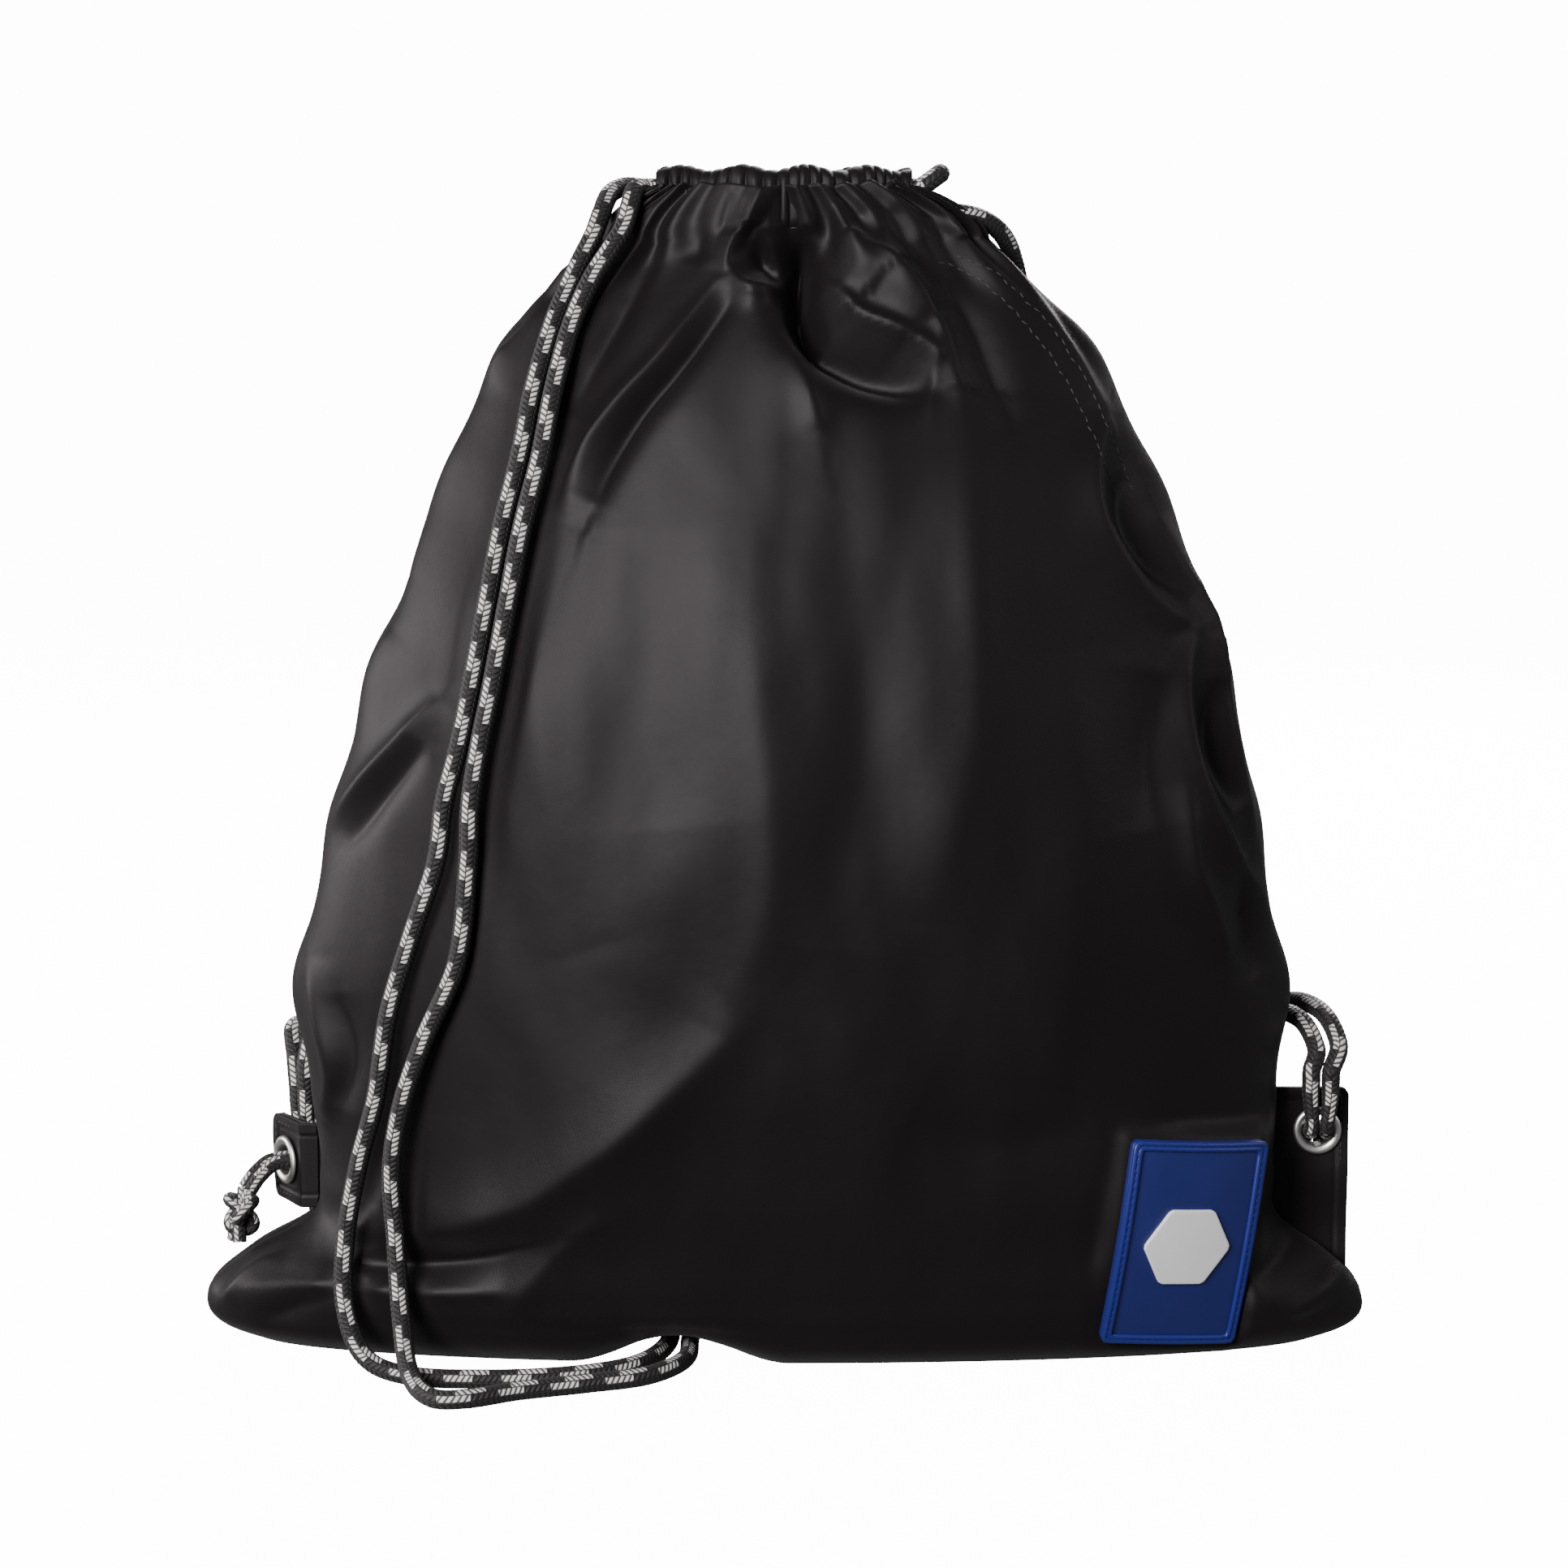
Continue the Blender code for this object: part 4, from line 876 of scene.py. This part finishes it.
def build_mouth_cords():
    """The cords inside the hem tunnels, half a lip at a time, and the loop at each far end."""
    for side, lip in ((-1, "front"), (1, "back")):
        for cord, z in (("left", UPPER_CORD_Z), ("right", LOWER_CORD_Z)):
            for half, half_name in ((-1, "left"), (1, "right")):
                share = half * np.linspace(0, 1.02, 60)
                path = np.stack([MOUTH_HALF_LENGTH * share, side * lip_y(np.clip(share, -1, 1)),
                                 np.full(60, z)], axis=1)
                run = braided_tube(f"{cord}_cord_{lip}_run_{half_name}_half", path, CORD_RADIUS)
                if half < 0:
                    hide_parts(f"{cord}_cord_{lip}_run")
                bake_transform(run)
    for name, end, z, rise in (("left_cord_turn", 1, UPPER_CORD_Z, 5.0),
                               ("right_cord_turn", -1, LOWER_CORD_Z, 0.0)):
        angle = np.linspace(-np.pi / 2, np.pi / 2, 40)
        bend = np.stack([end * (CORD_EXIT_X + 2.0 + MOUTH_END_Y * np.cos(angle)),
                         MOUTH_END_Y * np.sin(angle), z + rise * np.cos(angle)], axis=1)
        stub = np.array([[end * (CORD_EXIT_X - 1.0), MOUTH_END_Y, z]])
        path = np.concatenate([stub * [1, -1, 1], bend, stub])
        turn = braided_tube(name + "_braid", path, CORD_RADIUS)
        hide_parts(name)
        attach(turn, "bag")


# ---------------------------------------------------------------- stitching

def stitch_row(name, points, normals, material, length=2.6, thick=0.28, pitch=3.6):
    """A row of thread stitches, one small capsule each, along points given in millimetres."""
    path = np.array(points, float)
    normals = np.array(normals, float)
    lengths = np.concatenate([[0], np.cumsum(np.linalg.norm(np.diff(path, axis=0), axis=1))])
    row = bmesh.new()
    for middle in np.arange(pitch, lengths[-1] - pitch / 2, pitch):
        at = [np.interp(middle, lengths, path[:, axis]) for axis in range(3)]
        ahead = [np.interp(middle + 1, lengths, path[:, axis]) for axis in range(3)]
        normal = Vector([np.interp(middle, lengths, normals[:, axis]) for axis in range(3)]).normalized()
        along = (Vector(ahead) - Vector(at)).normalized()
        side = normal.cross(along).normalized()
        turn = Matrix((along, side, along.cross(side))).transposed().to_4x4()
        place = Matrix.Translation(Vector(at) * MM) @ turn
        place = place @ Matrix.Diagonal((length / 2 * MM, thick * MM, thick * MM, 1))
        bmesh.ops.create_uvsphere(row, u_segments=8, v_segments=6, radius=1.0, matrix=place)
    mesh = bpy.data.meshes.new(name)
    row.to_mesh(mesh)
    row.free()
    return add_object(name, mesh, material)


def panel_finder(points, side):
    """Gives the point and outward direction of a panel's finished face at a given x and z."""
    normals = outward(points, side)
    flat, flat_normals = points[BASE_ROWS:].reshape(-1, 3), normals[BASE_ROWS:].reshape(-1, 3)
    tree = kdtree.KDTree(len(flat))
    for i, (x, _, z) in enumerate(flat):
        tree.insert((x, 0, z), i)
    tree.balance()

    def find(x, z):
        index = tree.find((x, 0, z))[1]
        return flat[index], flat_normals[index]
    return find


def stitch_on_panel(name, find, route):
    """A row of stitches over a panel, along a route of (x, z) points."""
    line = smooth_path([(a, 0, b) for a, b in route], 3.0)
    found = [find(x, z) for x, _, z in line]
    stitches = stitch_row(name, [point for point, _ in found], [normal for _, normal in found], THREAD)
    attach(stitches, "bag")


# ---------------------------------------------------------------- gathered mouth

def slot_outline(half_width, height, count):
    """An upright slot outline with round ends, as across and up columns."""
    turns = np.linspace(0, 2 * np.pi, count, endpoint=False)
    straight = height / 2 - half_width
    return half_width * np.cos(turns), np.sign(np.sin(turns)) * straight + half_width * np.sin(turns)


def channel_rows(side, share, half_width, height, middle, gathers):
    """Rings of the hem tunnel at each share of the lip, gathered into rounded pleats."""
    across, up = slot_outline(half_width, height, CHANNEL_SIDES)
    x = MOUTH_HALF_LENGTH * share
    y = side * lip_y(share)
    along = np.stack([np.full_like(x, MOUTH_HALF_LENGTH),
                      -side * MOUTH_BULGE * 0.5 * np.pi * np.sin(np.pi * share)], axis=1)
    along /= np.linalg.norm(along, axis=1, keepdims=True)
    out = np.stack([along[:, 1], -along[:, 0]], axis=1) * -side
    phase = np.pi * (11 * share + 0.35 * np.sin(9 * share + side) + 0.2 * side)
    pleat = np.abs(np.sin(phase)) ** 0.55 - 0.75
    fine = 0.25 * np.sin(61 * share + 1.0)
    face = 0.55 + 0.45 * across / half_width
    swell = gathers * (pleat + fine)[:, None] * face
    wavy_top = (0.9 * np.sin(13 * share + 0.6 * side) + 0.5 * pleat)[:, None]
    crest = gathers * wavy_top * np.clip(up / height * 2, 0, 1)
    reach = across * (1 + swell / half_width)
    rows = np.empty((len(share), len(across), 3))
    rows[..., 0] = x[:, None] + out[:, :1] * reach
    rows[..., 1] = y[:, None] + out[:, 1:] * reach
    rows[..., 2] = middle + up + crest
    return rows


def build_channels():
    middle = (CHANNEL_BOTTOM + CHANNEL_TOP) / 2
    tunnel_middle = (LOWER_CORD_Z + UPPER_CORD_Z) / 2
    tunnel_height = UPPER_CORD_Z - LOWER_CORD_Z + TUNNEL_WIDTH
    halves = []
    for side, lip in ((-1, "front"), (1, "back")):
        for half, half_name in ((-1, "left"), (1, "right")):
            share = half * np.linspace(0, 1, CHANNEL_STEPS)
            inner = channel_rows(side, share, TUNNEL_WIDTH / 2, tunnel_height, tunnel_middle, 0.0)
            outer = channel_rows(side, share, CHANNEL_THICK / 2, CHANNEL_TOP - CHANNEL_BOTTOM, middle,
                                 CHANNEL_GATHER)
            rows = np.concatenate([inner, outer[::-1]])
            around = np.arange(CHANNEL_SIDES) / CHANNEL_SIDES * 0.055
            lengths = np.concatenate([share, share[::-1]]) * MOUTH_HALF_LENGTH * 2.2 * MM
            uvs = np.stack(np.broadcast_arrays(lengths[:, None], around[None, :]), axis=-1)
            mesh = sheet_mesh(f"{lip}_channel_{half_name}_half", rows * MM)
            layer = mesh.uv_layers.new(name="UVMap")
            corner_vertices = np.empty(len(mesh.loops), int)
            mesh.loops.foreach_get("vertex_index", corner_vertices)
            layer.data.foreach_set("uv", uvs.reshape(-1, 2)[corner_vertices].reshape(-1).astype(np.float32))
            mesh = close_rings(mesh, rows.shape[:2])
            hem = add_object(mesh.name, mesh, TWILL)
            if half < 0:
                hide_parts(lip + "_channel")
            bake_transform(hem)
            face = outer[:, HEM_STITCH_COLUMN]
            away = face - np.stack([MOUTH_HALF_LENGTH * share, side * lip_y(share), face[:, 2]], axis=1)
            stitches = stitch_row(f"{lip}_hem_stitches_{half_name}_half", face, away, THREAD)
            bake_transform(stitches)
            halves.append(hem)
    return halves


def close_rings(mesh, shape):
    """Adds the last strip of faces to a grid whose rows are rings."""
    rows, columns = shape
    ring = bmesh.new()
    ring.from_mesh(mesh)
    ring.verts.ensure_lookup_table()
    uv = ring.loops.layers.uv.active
    for row in range(rows - 1):
        first, following = row * columns, (row + 1) * columns
        corners = [first + columns - 1, first, following, following + columns - 1]
        face = ring.faces.new([ring.verts[i] for i in corners])
        source = ring.verts[corners[0]].link_loops[0][uv].uv.copy()
        for loop in face.loops:
            loop[uv].uv = source
    ring.to_mesh(mesh)
    ring.free()
    return mesh


# ---------------------------------------------------------------- side tabs and eyelets

def build_tab(side_name, hinge, turn, outer, below, above, root):
    """A doubled cloth tab with hemmed edges. root is where it is sewn into the seam, in its own frame."""
    columns, rows = 44, 64
    x = np.linspace(root[0], TAB_START + TAB_WIDTH, columns + 1)[None, :] * np.ones((rows + 1, 1))
    z = np.linspace(-below, above, rows + 1)[:, None] * np.ones((1, columns + 1))
    to_edge = np.minimum(TAB_START + TAB_WIDTH - x, np.minimum(z + below, above - z))
    corner = 3.0
    dx = np.clip(x - (TAB_START + TAB_WIDTH - corner), 0, None)
    dz = np.clip(np.abs(z - (above - below) / 2) - ((above + below) / 2 - corner), 0, None)
    overshoot = np.maximum(1, np.hypot(dx, dz) / corner)
    x = x - dx + dx / overshoot
    z = z - np.sign(z - (above - below) / 2) * (dz - dz / overshoot)
    hem = 0.35 * (1 - smoothstep(to_edge, 3.4, 4.4)) - 0.25 * np.exp(-((to_edge - 4.4) / 0.5) ** 2)
    from_hole = np.hypot(x - EYELET_OFFSET, z)
    dimple = -0.25 * np.exp(-((from_hole - FLANGE_RADIUS) / 1.5) ** 2)
    wave = 0.5 * np.sin(z / 6.0 + 1.0) * smoothstep(from_hole, 9, 16) * smoothstep(x, 2, 14)
    root_share = np.clip(x / root[0], 0, 1)
    middle = wave + root[1] * root_share
    y = np.stack([middle + side * (TAB_THICK / 2 - 0.35 + hem + dimple) for side in (-1, 1)])
    cloth = bmesh.new()
    layers = []
    for layer in range(2):
        layers.append([[cloth.verts.new(Vector((x[i, j], y[layer][i, j], z[i, j])) * MM)
                        for j in range(columns + 1)] for i in range(rows + 1)])
    hole = BARREL_RADIUS + 0.1
    for layer, verts in enumerate(layers):
        for i in range(rows):
            for j in range(columns):
                if np.hypot(x[i, j] - EYELET_OFFSET, z[i, j]) < hole:
                    continue
                quad = [verts[i][j], verts[i][j + 1], verts[i + 1][j + 1], verts[i + 1][j]]
                cloth.faces.new(quad if layer == 0 else quad[::-1])
    rim = ([(0, j) for j in range(columns + 1)] + [(i, columns) for i in range(1, rows + 1)]
           + [(rows, j) for j in range(columns - 1, -1, -1)])
    for (i, j), (k, m) in zip(rim, rim[1:]):
        cloth.faces.new([layers[0][k][m], layers[0][i][j], layers[1][i][j], layers[1][k][m]])
    uv = cloth.loops.layers.uv.new("UVMap")
    for face in cloth.faces:
        for loop in face.loops:
            loop[uv].uv = (loop.vert.co.x, loop.vert.co.z)
    mesh = bpy.data.meshes.new(f"{side_name}_tab_cloth")
    cloth.to_mesh(mesh)
    cloth.free()
    place = Matrix.Translation(Vector(hinge) * MM) @ Matrix.Rotation(turn, 4, "Z")
    mesh.transform(place)
    tab = add_object(mesh.name, mesh, TWILL)
    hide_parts("eyelet_tab_" + side_name)
    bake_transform(tab)
    inset = TAB_STITCH_INSET
    right_edge = TAB_START + TAB_WIDTH - inset
    route = [(TAB_STITCH_START, above - inset), (right_edge, above - inset)]
    if below > above:
        # a long tab runs down behind the bag's corner, so its stitching stops short of the cloth
        route.append((right_edge, -below / 2))
    else:
        route += [(right_edge, -below + inset), (TAB_STITCH_START, -below + inset)]
    for face, face_name in ((-1, "front"), (1, "back")):
        line = []
        for (x0, z0), (x1, z1) in zip(route, route[1:]):
            for share in np.linspace(0, 1, 20, endpoint=False):
                line.append((x0 + (x1 - x0) * share, face * (TAB_THICK / 2 + 0.05), z0 + (z1 - z0) * share))
        points = in_tab_frame(line, hinge, turn)
        normal = Matrix.Rotation(turn, 3, "Z") @ Vector((0, face, 0))
        stitches = stitch_row(f"{side_name}_tab_stitches_{face_name}", points, [normal] * len(points), THREAD,
                              length=1.9, thick=0.24, pitch=2.6)
        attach(stitches, side_name + "_tab")
    build_eyelet(side_name, hinge, turn, outer)


def turned(name, profile, material, place):
    """A closed profile of radius and height pairs, smoothed and turned round its own Z."""
    line = smooth_path([(r, 0, h) for r, h in profile + profile[:1]], 0.22)[:-1]
    turns = np.linspace(0, 2 * np.pi, 72, endpoint=False)
    rows = np.stack([line[:, None, 0] * np.cos(turns), line[:, None, 0] * np.sin(turns),
                     line[:, None, 2] * np.ones(72)], axis=-1)
    rows = np.concatenate([rows, rows[:1]])
    mesh = sheet_mesh(name, rows * MM, closed_u=True)
    mesh.transform(place)
    return add_object(name, mesh, material)


def build_eyelet(side_name, hinge, turn, outer):
    place = (Matrix.Translation(Vector(hinge) * MM) @ Matrix.Rotation(turn, 4, "Z")
             @ Matrix.Translation((EYELET_OFFSET * MM, 0, 0)) @ Matrix.Rotation(outer * -math.pi / 2, 4, "X"))
    face = TAB_THICK / 2 + GAP
    back = -face - WASHER_THICK - GAP
    flange = [(FLANGE_RADIUS, face + 0.1), (FLANGE_RADIUS - 0.15, face + 0.75),
              (FLANGE_RADIUS - 0.9, face + FLANGE_THICK), (FLANGE_RADIUS - 1.7, face + FLANGE_THICK),
              (EYELET_HOLE_RADIUS + 0.6, face + 0.9), (EYELET_HOLE_RADIUS + 0.1, face + 0.1),
              (EYELET_HOLE_RADIUS, 0), (EYELET_HOLE_RADIUS + 0.05, back - 0.2),
              (EYELET_HOLE_RADIUS + 0.7, back - 0.9), (BARREL_RADIUS + 0.9, back - 0.8),
              (BARREL_RADIUS + 0.9, back - 0.1), (BARREL_RADIUS, back), (BARREL_RADIUS, 0),
              (BARREL_RADIUS, face), (FLANGE_RADIUS - 0.4, face)]
    ring = turned(f"{side_name}_eyelet_ring", flange, NICKEL, place)
    washer = [(WASHER_RADIUS, -face - 0.1), (WASHER_RADIUS - 0.1, -face - 0.5),
              (WASHER_RADIUS - 0.8, -face - WASHER_THICK), (BARREL_RADIUS + GAP, -face - WASHER_THICK),
              (BARREL_RADIUS + GAP, -face), (WASHER_RADIUS - 0.4, -face)]
    plate = turned(f"{side_name}_eyelet_plate", washer, NICKEL, place)
    for piece, node in ((ring, "eyelet_"), (plate, "eyelet_washer_")):
        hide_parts(node + side_name)
        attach(piece, side_name + "_tab")


# ---------------------------------------------------------------- rubber patch

def patch_place(across, up):
    x = PATCH_CENTRE[0] + across * math.cos(PATCH_LEAN) + up * math.sin(PATCH_LEAN)
    z = PATCH_CENTRE[1] - across * math.sin(PATCH_LEAN) + up * math.cos(PATCH_LEAN)
    return x, z


def patch_y(x, z):
    """The stitched cloth behind the patch, which holds it in one smooth curve."""
    middle, half_width, deepest = PATCH_CURVE
    depth = deepest - PATCH_CURVE_FALL * (PATCH_CURVE_TOP - z) ** 2
    return -depth * np.sqrt(np.clip(1 - ((x - middle) / half_width) ** 2, 0.01, 1))


def over_patch(x, z):
    """1 under the patch and fading out around it."""
    dx, dz = x - PATCH_CENTRE[0], z - PATCH_CENTRE[1]
    across = dx * math.cos(PATCH_LEAN) - dz * math.sin(PATCH_LEAN)
    up = dx * math.sin(PATCH_LEAN) + dz * math.cos(PATCH_LEAN)
    outside = np.hypot(np.clip(np.abs(across) - PATCH_WIDTH / 2 + 1, 0, None),
                       np.clip(np.abs(up) - PATCH_HEIGHT / 2 + 1, 0, None))
    return 1 - smoothstep(outside, 0, 8)


def on_patch(across, up, height):
    """A point over the front of the bag, in metres, from its place in the patch's own plane."""
    x, z = patch_place(across, up)
    return (Vector((x, patch_y(x, z), z)) + patch_normal(x, z) * (PATCH_HEIGHT_OVER_CLOTH + height)) * MM


def patch_normal(x, z):
    along_x = Vector((2, patch_y(x + 1, z) - patch_y(x - 1, z), 0))
    along_z = Vector((0, patch_y(x, z + 1) - patch_y(x, z - 1), 2))
    return along_x.cross(along_z).normalized()


def patch_outline(inset, count=PATCH_SIDES):
    """The patch's outline with rounded corners, a distance inside its edge."""
    corner = max(0.3, 2.2 - inset)
    wide, tall = PATCH_WIDTH / 2 - inset, PATCH_HEIGHT / 2 - inset
    points = []
    for turn, (sx, sy) in zip(range(4), ((1, 1), (-1, 1), (-1, -1), (1, -1))):
        for i in range(8):
            angle = math.pi / 2 * (turn + i / 7)
            points.append((sx * (wide - corner) + corner * math.cos(angle),
                           sy * (tall - corner) + corner * math.sin(angle), 0))
    line = np.array(points + points[:1])
    lengths = np.concatenate([[0], np.cumsum(np.linalg.norm(np.diff(line, axis=0), axis=1))])
    wanted = np.linspace(0, lengths[-1], count, endpoint=False)
    return np.stack([np.interp(wanted, lengths, line[:, axis]) for axis in range(2)], axis=1)


def patch_layer(name, insets, heights, material, outline, fill=False):
    """Rings of the patch's own plane at their heights, laid on the bag."""
    rows = np.array([[on_patch(a, b, height) for a, b in outline(inset)]
                     for inset, height in zip(insets, heights)])
    mesh = sheet_mesh(name, rows, closed_u=True)
    if fill:
        fan = bmesh.new()
        fan.from_mesh(mesh)
        fan.verts.ensure_lookup_table()
        last = list(fan.verts)[-rows.shape[1]:]
        fan.faces.new(last)
        fan.to_mesh(mesh)
        fan.free()
    return add_object(name, mesh, material)


def build_patch():
    top = PATCH_BASE_THICK
    insets = [0.0, 0.0, 0.15, 0.5, 1.0, 2.5, 4, 6, 8, 10, 12, 14, 16, 18, 20, 21.5, 22.5]
    heights = [-1.5, top - 0.6, top - 0.15, top] + [top] * 13
    base = patch_layer("patch_field", insets, heights, NAVY, patch_outline, fill=True)
    groove = PATCH_RIM / 2 + 0.2
    insets = [0.25, 0.25, 0.5, 1.0, groove - 0.5, groove - 0.15, groove, groove + 0.15, groove + 0.5,
              PATCH_RIM - 0.3, PATCH_RIM, PATCH_RIM]
    crest = top + GAP + PATCH_LAYER
    heights = [top - 0.4, crest - 0.5, crest - 0.12, crest, crest, crest - 0.3, crest - 0.45, crest - 0.3,
               crest, crest - 0.05, crest - 0.5, top - 0.4]
    rim = patch_layer("patch_border", insets, heights, BLUE, patch_outline)

    def hexagon(inset):
        """A hexagon with softened corners: the plain stand-in for the printed mark."""
        points = []
        for i in range(PATCH_SIDES):
            angle = 2 * math.pi * i / PATCH_SIDES
            corner = abs((angle % (math.pi / 3)) - math.pi / 6)
            radius = EMBLEM_RADIUS * math.cos(math.pi / 6) / math.cos(corner)
            radius = min(radius, EMBLEM_RADIUS * 0.97) - inset
            points.append((radius * math.cos(angle), radius * math.sin(angle)))
        return points

    insets = [0.0, 0.0, 0.12, 0.4, 1.0, 3, 6, 9, 11.5, 12.4]
    heights = [top - 0.3, crest - 0.45, crest - 0.12, crest] + [crest] * 6
    emblem = patch_layer("patch_hexagon", insets, heights, WHITE, hexagon, fill=True)
    line = patch_outline(groove, 200)
    points = [on_patch(a, b, crest - 0.25) / MM for a, b in line]
    normals = [patch_normal(*patch_place(a, b)) for a, b in line]
    stitches = stitch_row("patch_border_stitches", points, normals, BLUE, length=2.1, thick=0.22, pitch=2.8)
    for piece, node, slot in ((base, "patch_base", "navy_rubber"), (rim, "patch_rim", "blue_rubber"),
                              (emblem, "patch_emblem", "white_rubber")):
        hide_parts(node)
        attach(piece, "bag")
    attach(stitches, "bag")


# ---------------------------------------------------------------- the whole bag

def build_bag():
    panels = {}
    for name, side, folds, routes in (
            ("front", -1, FRONT_FOLDS, (LEFT_STRAND_A, LEFT_STRAND_B)),
            ("back", 1, BACK_FOLDS, (RIGHT_STRAND_A, RIGHT_STRAND_B, LEFT_STRAND_A, LEFT_STRAND_B))):
        panel, points = build_panel(name + "_cloth", side, folds, routes)
        bake(panel)
        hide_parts(name + "_panel")
        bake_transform(panel)
        panels[name] = panel
        find = panel_finder(points, side)
        for row, route in SHOULDER_STITCHES.items():
            stitch_on_panel(f"{name}_shoulder_stitches_{row}", find, route)
    return panels


build_straps()
build_mouth_cords()
panels = build_bag()
channels = build_channels()
build_tab("left", LEFT_TAB_HINGE, LEFT_TAB_TURN, 1, TAB_ABOVE, TAB_ABOVE, LEFT_TAB_ROOT)
build_tab("right", RIGHT_TAB_HINGE, RIGHT_TAB_TURN, -1, RIGHT_TAB_BELOW, TAB_ABOVE, RIGHT_TAB_ROOT)
build_patch()
for seam in ("left_side_seam", "right_side_seam", "base_seam"):
    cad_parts[seam].material_slots[0].material = TAPE
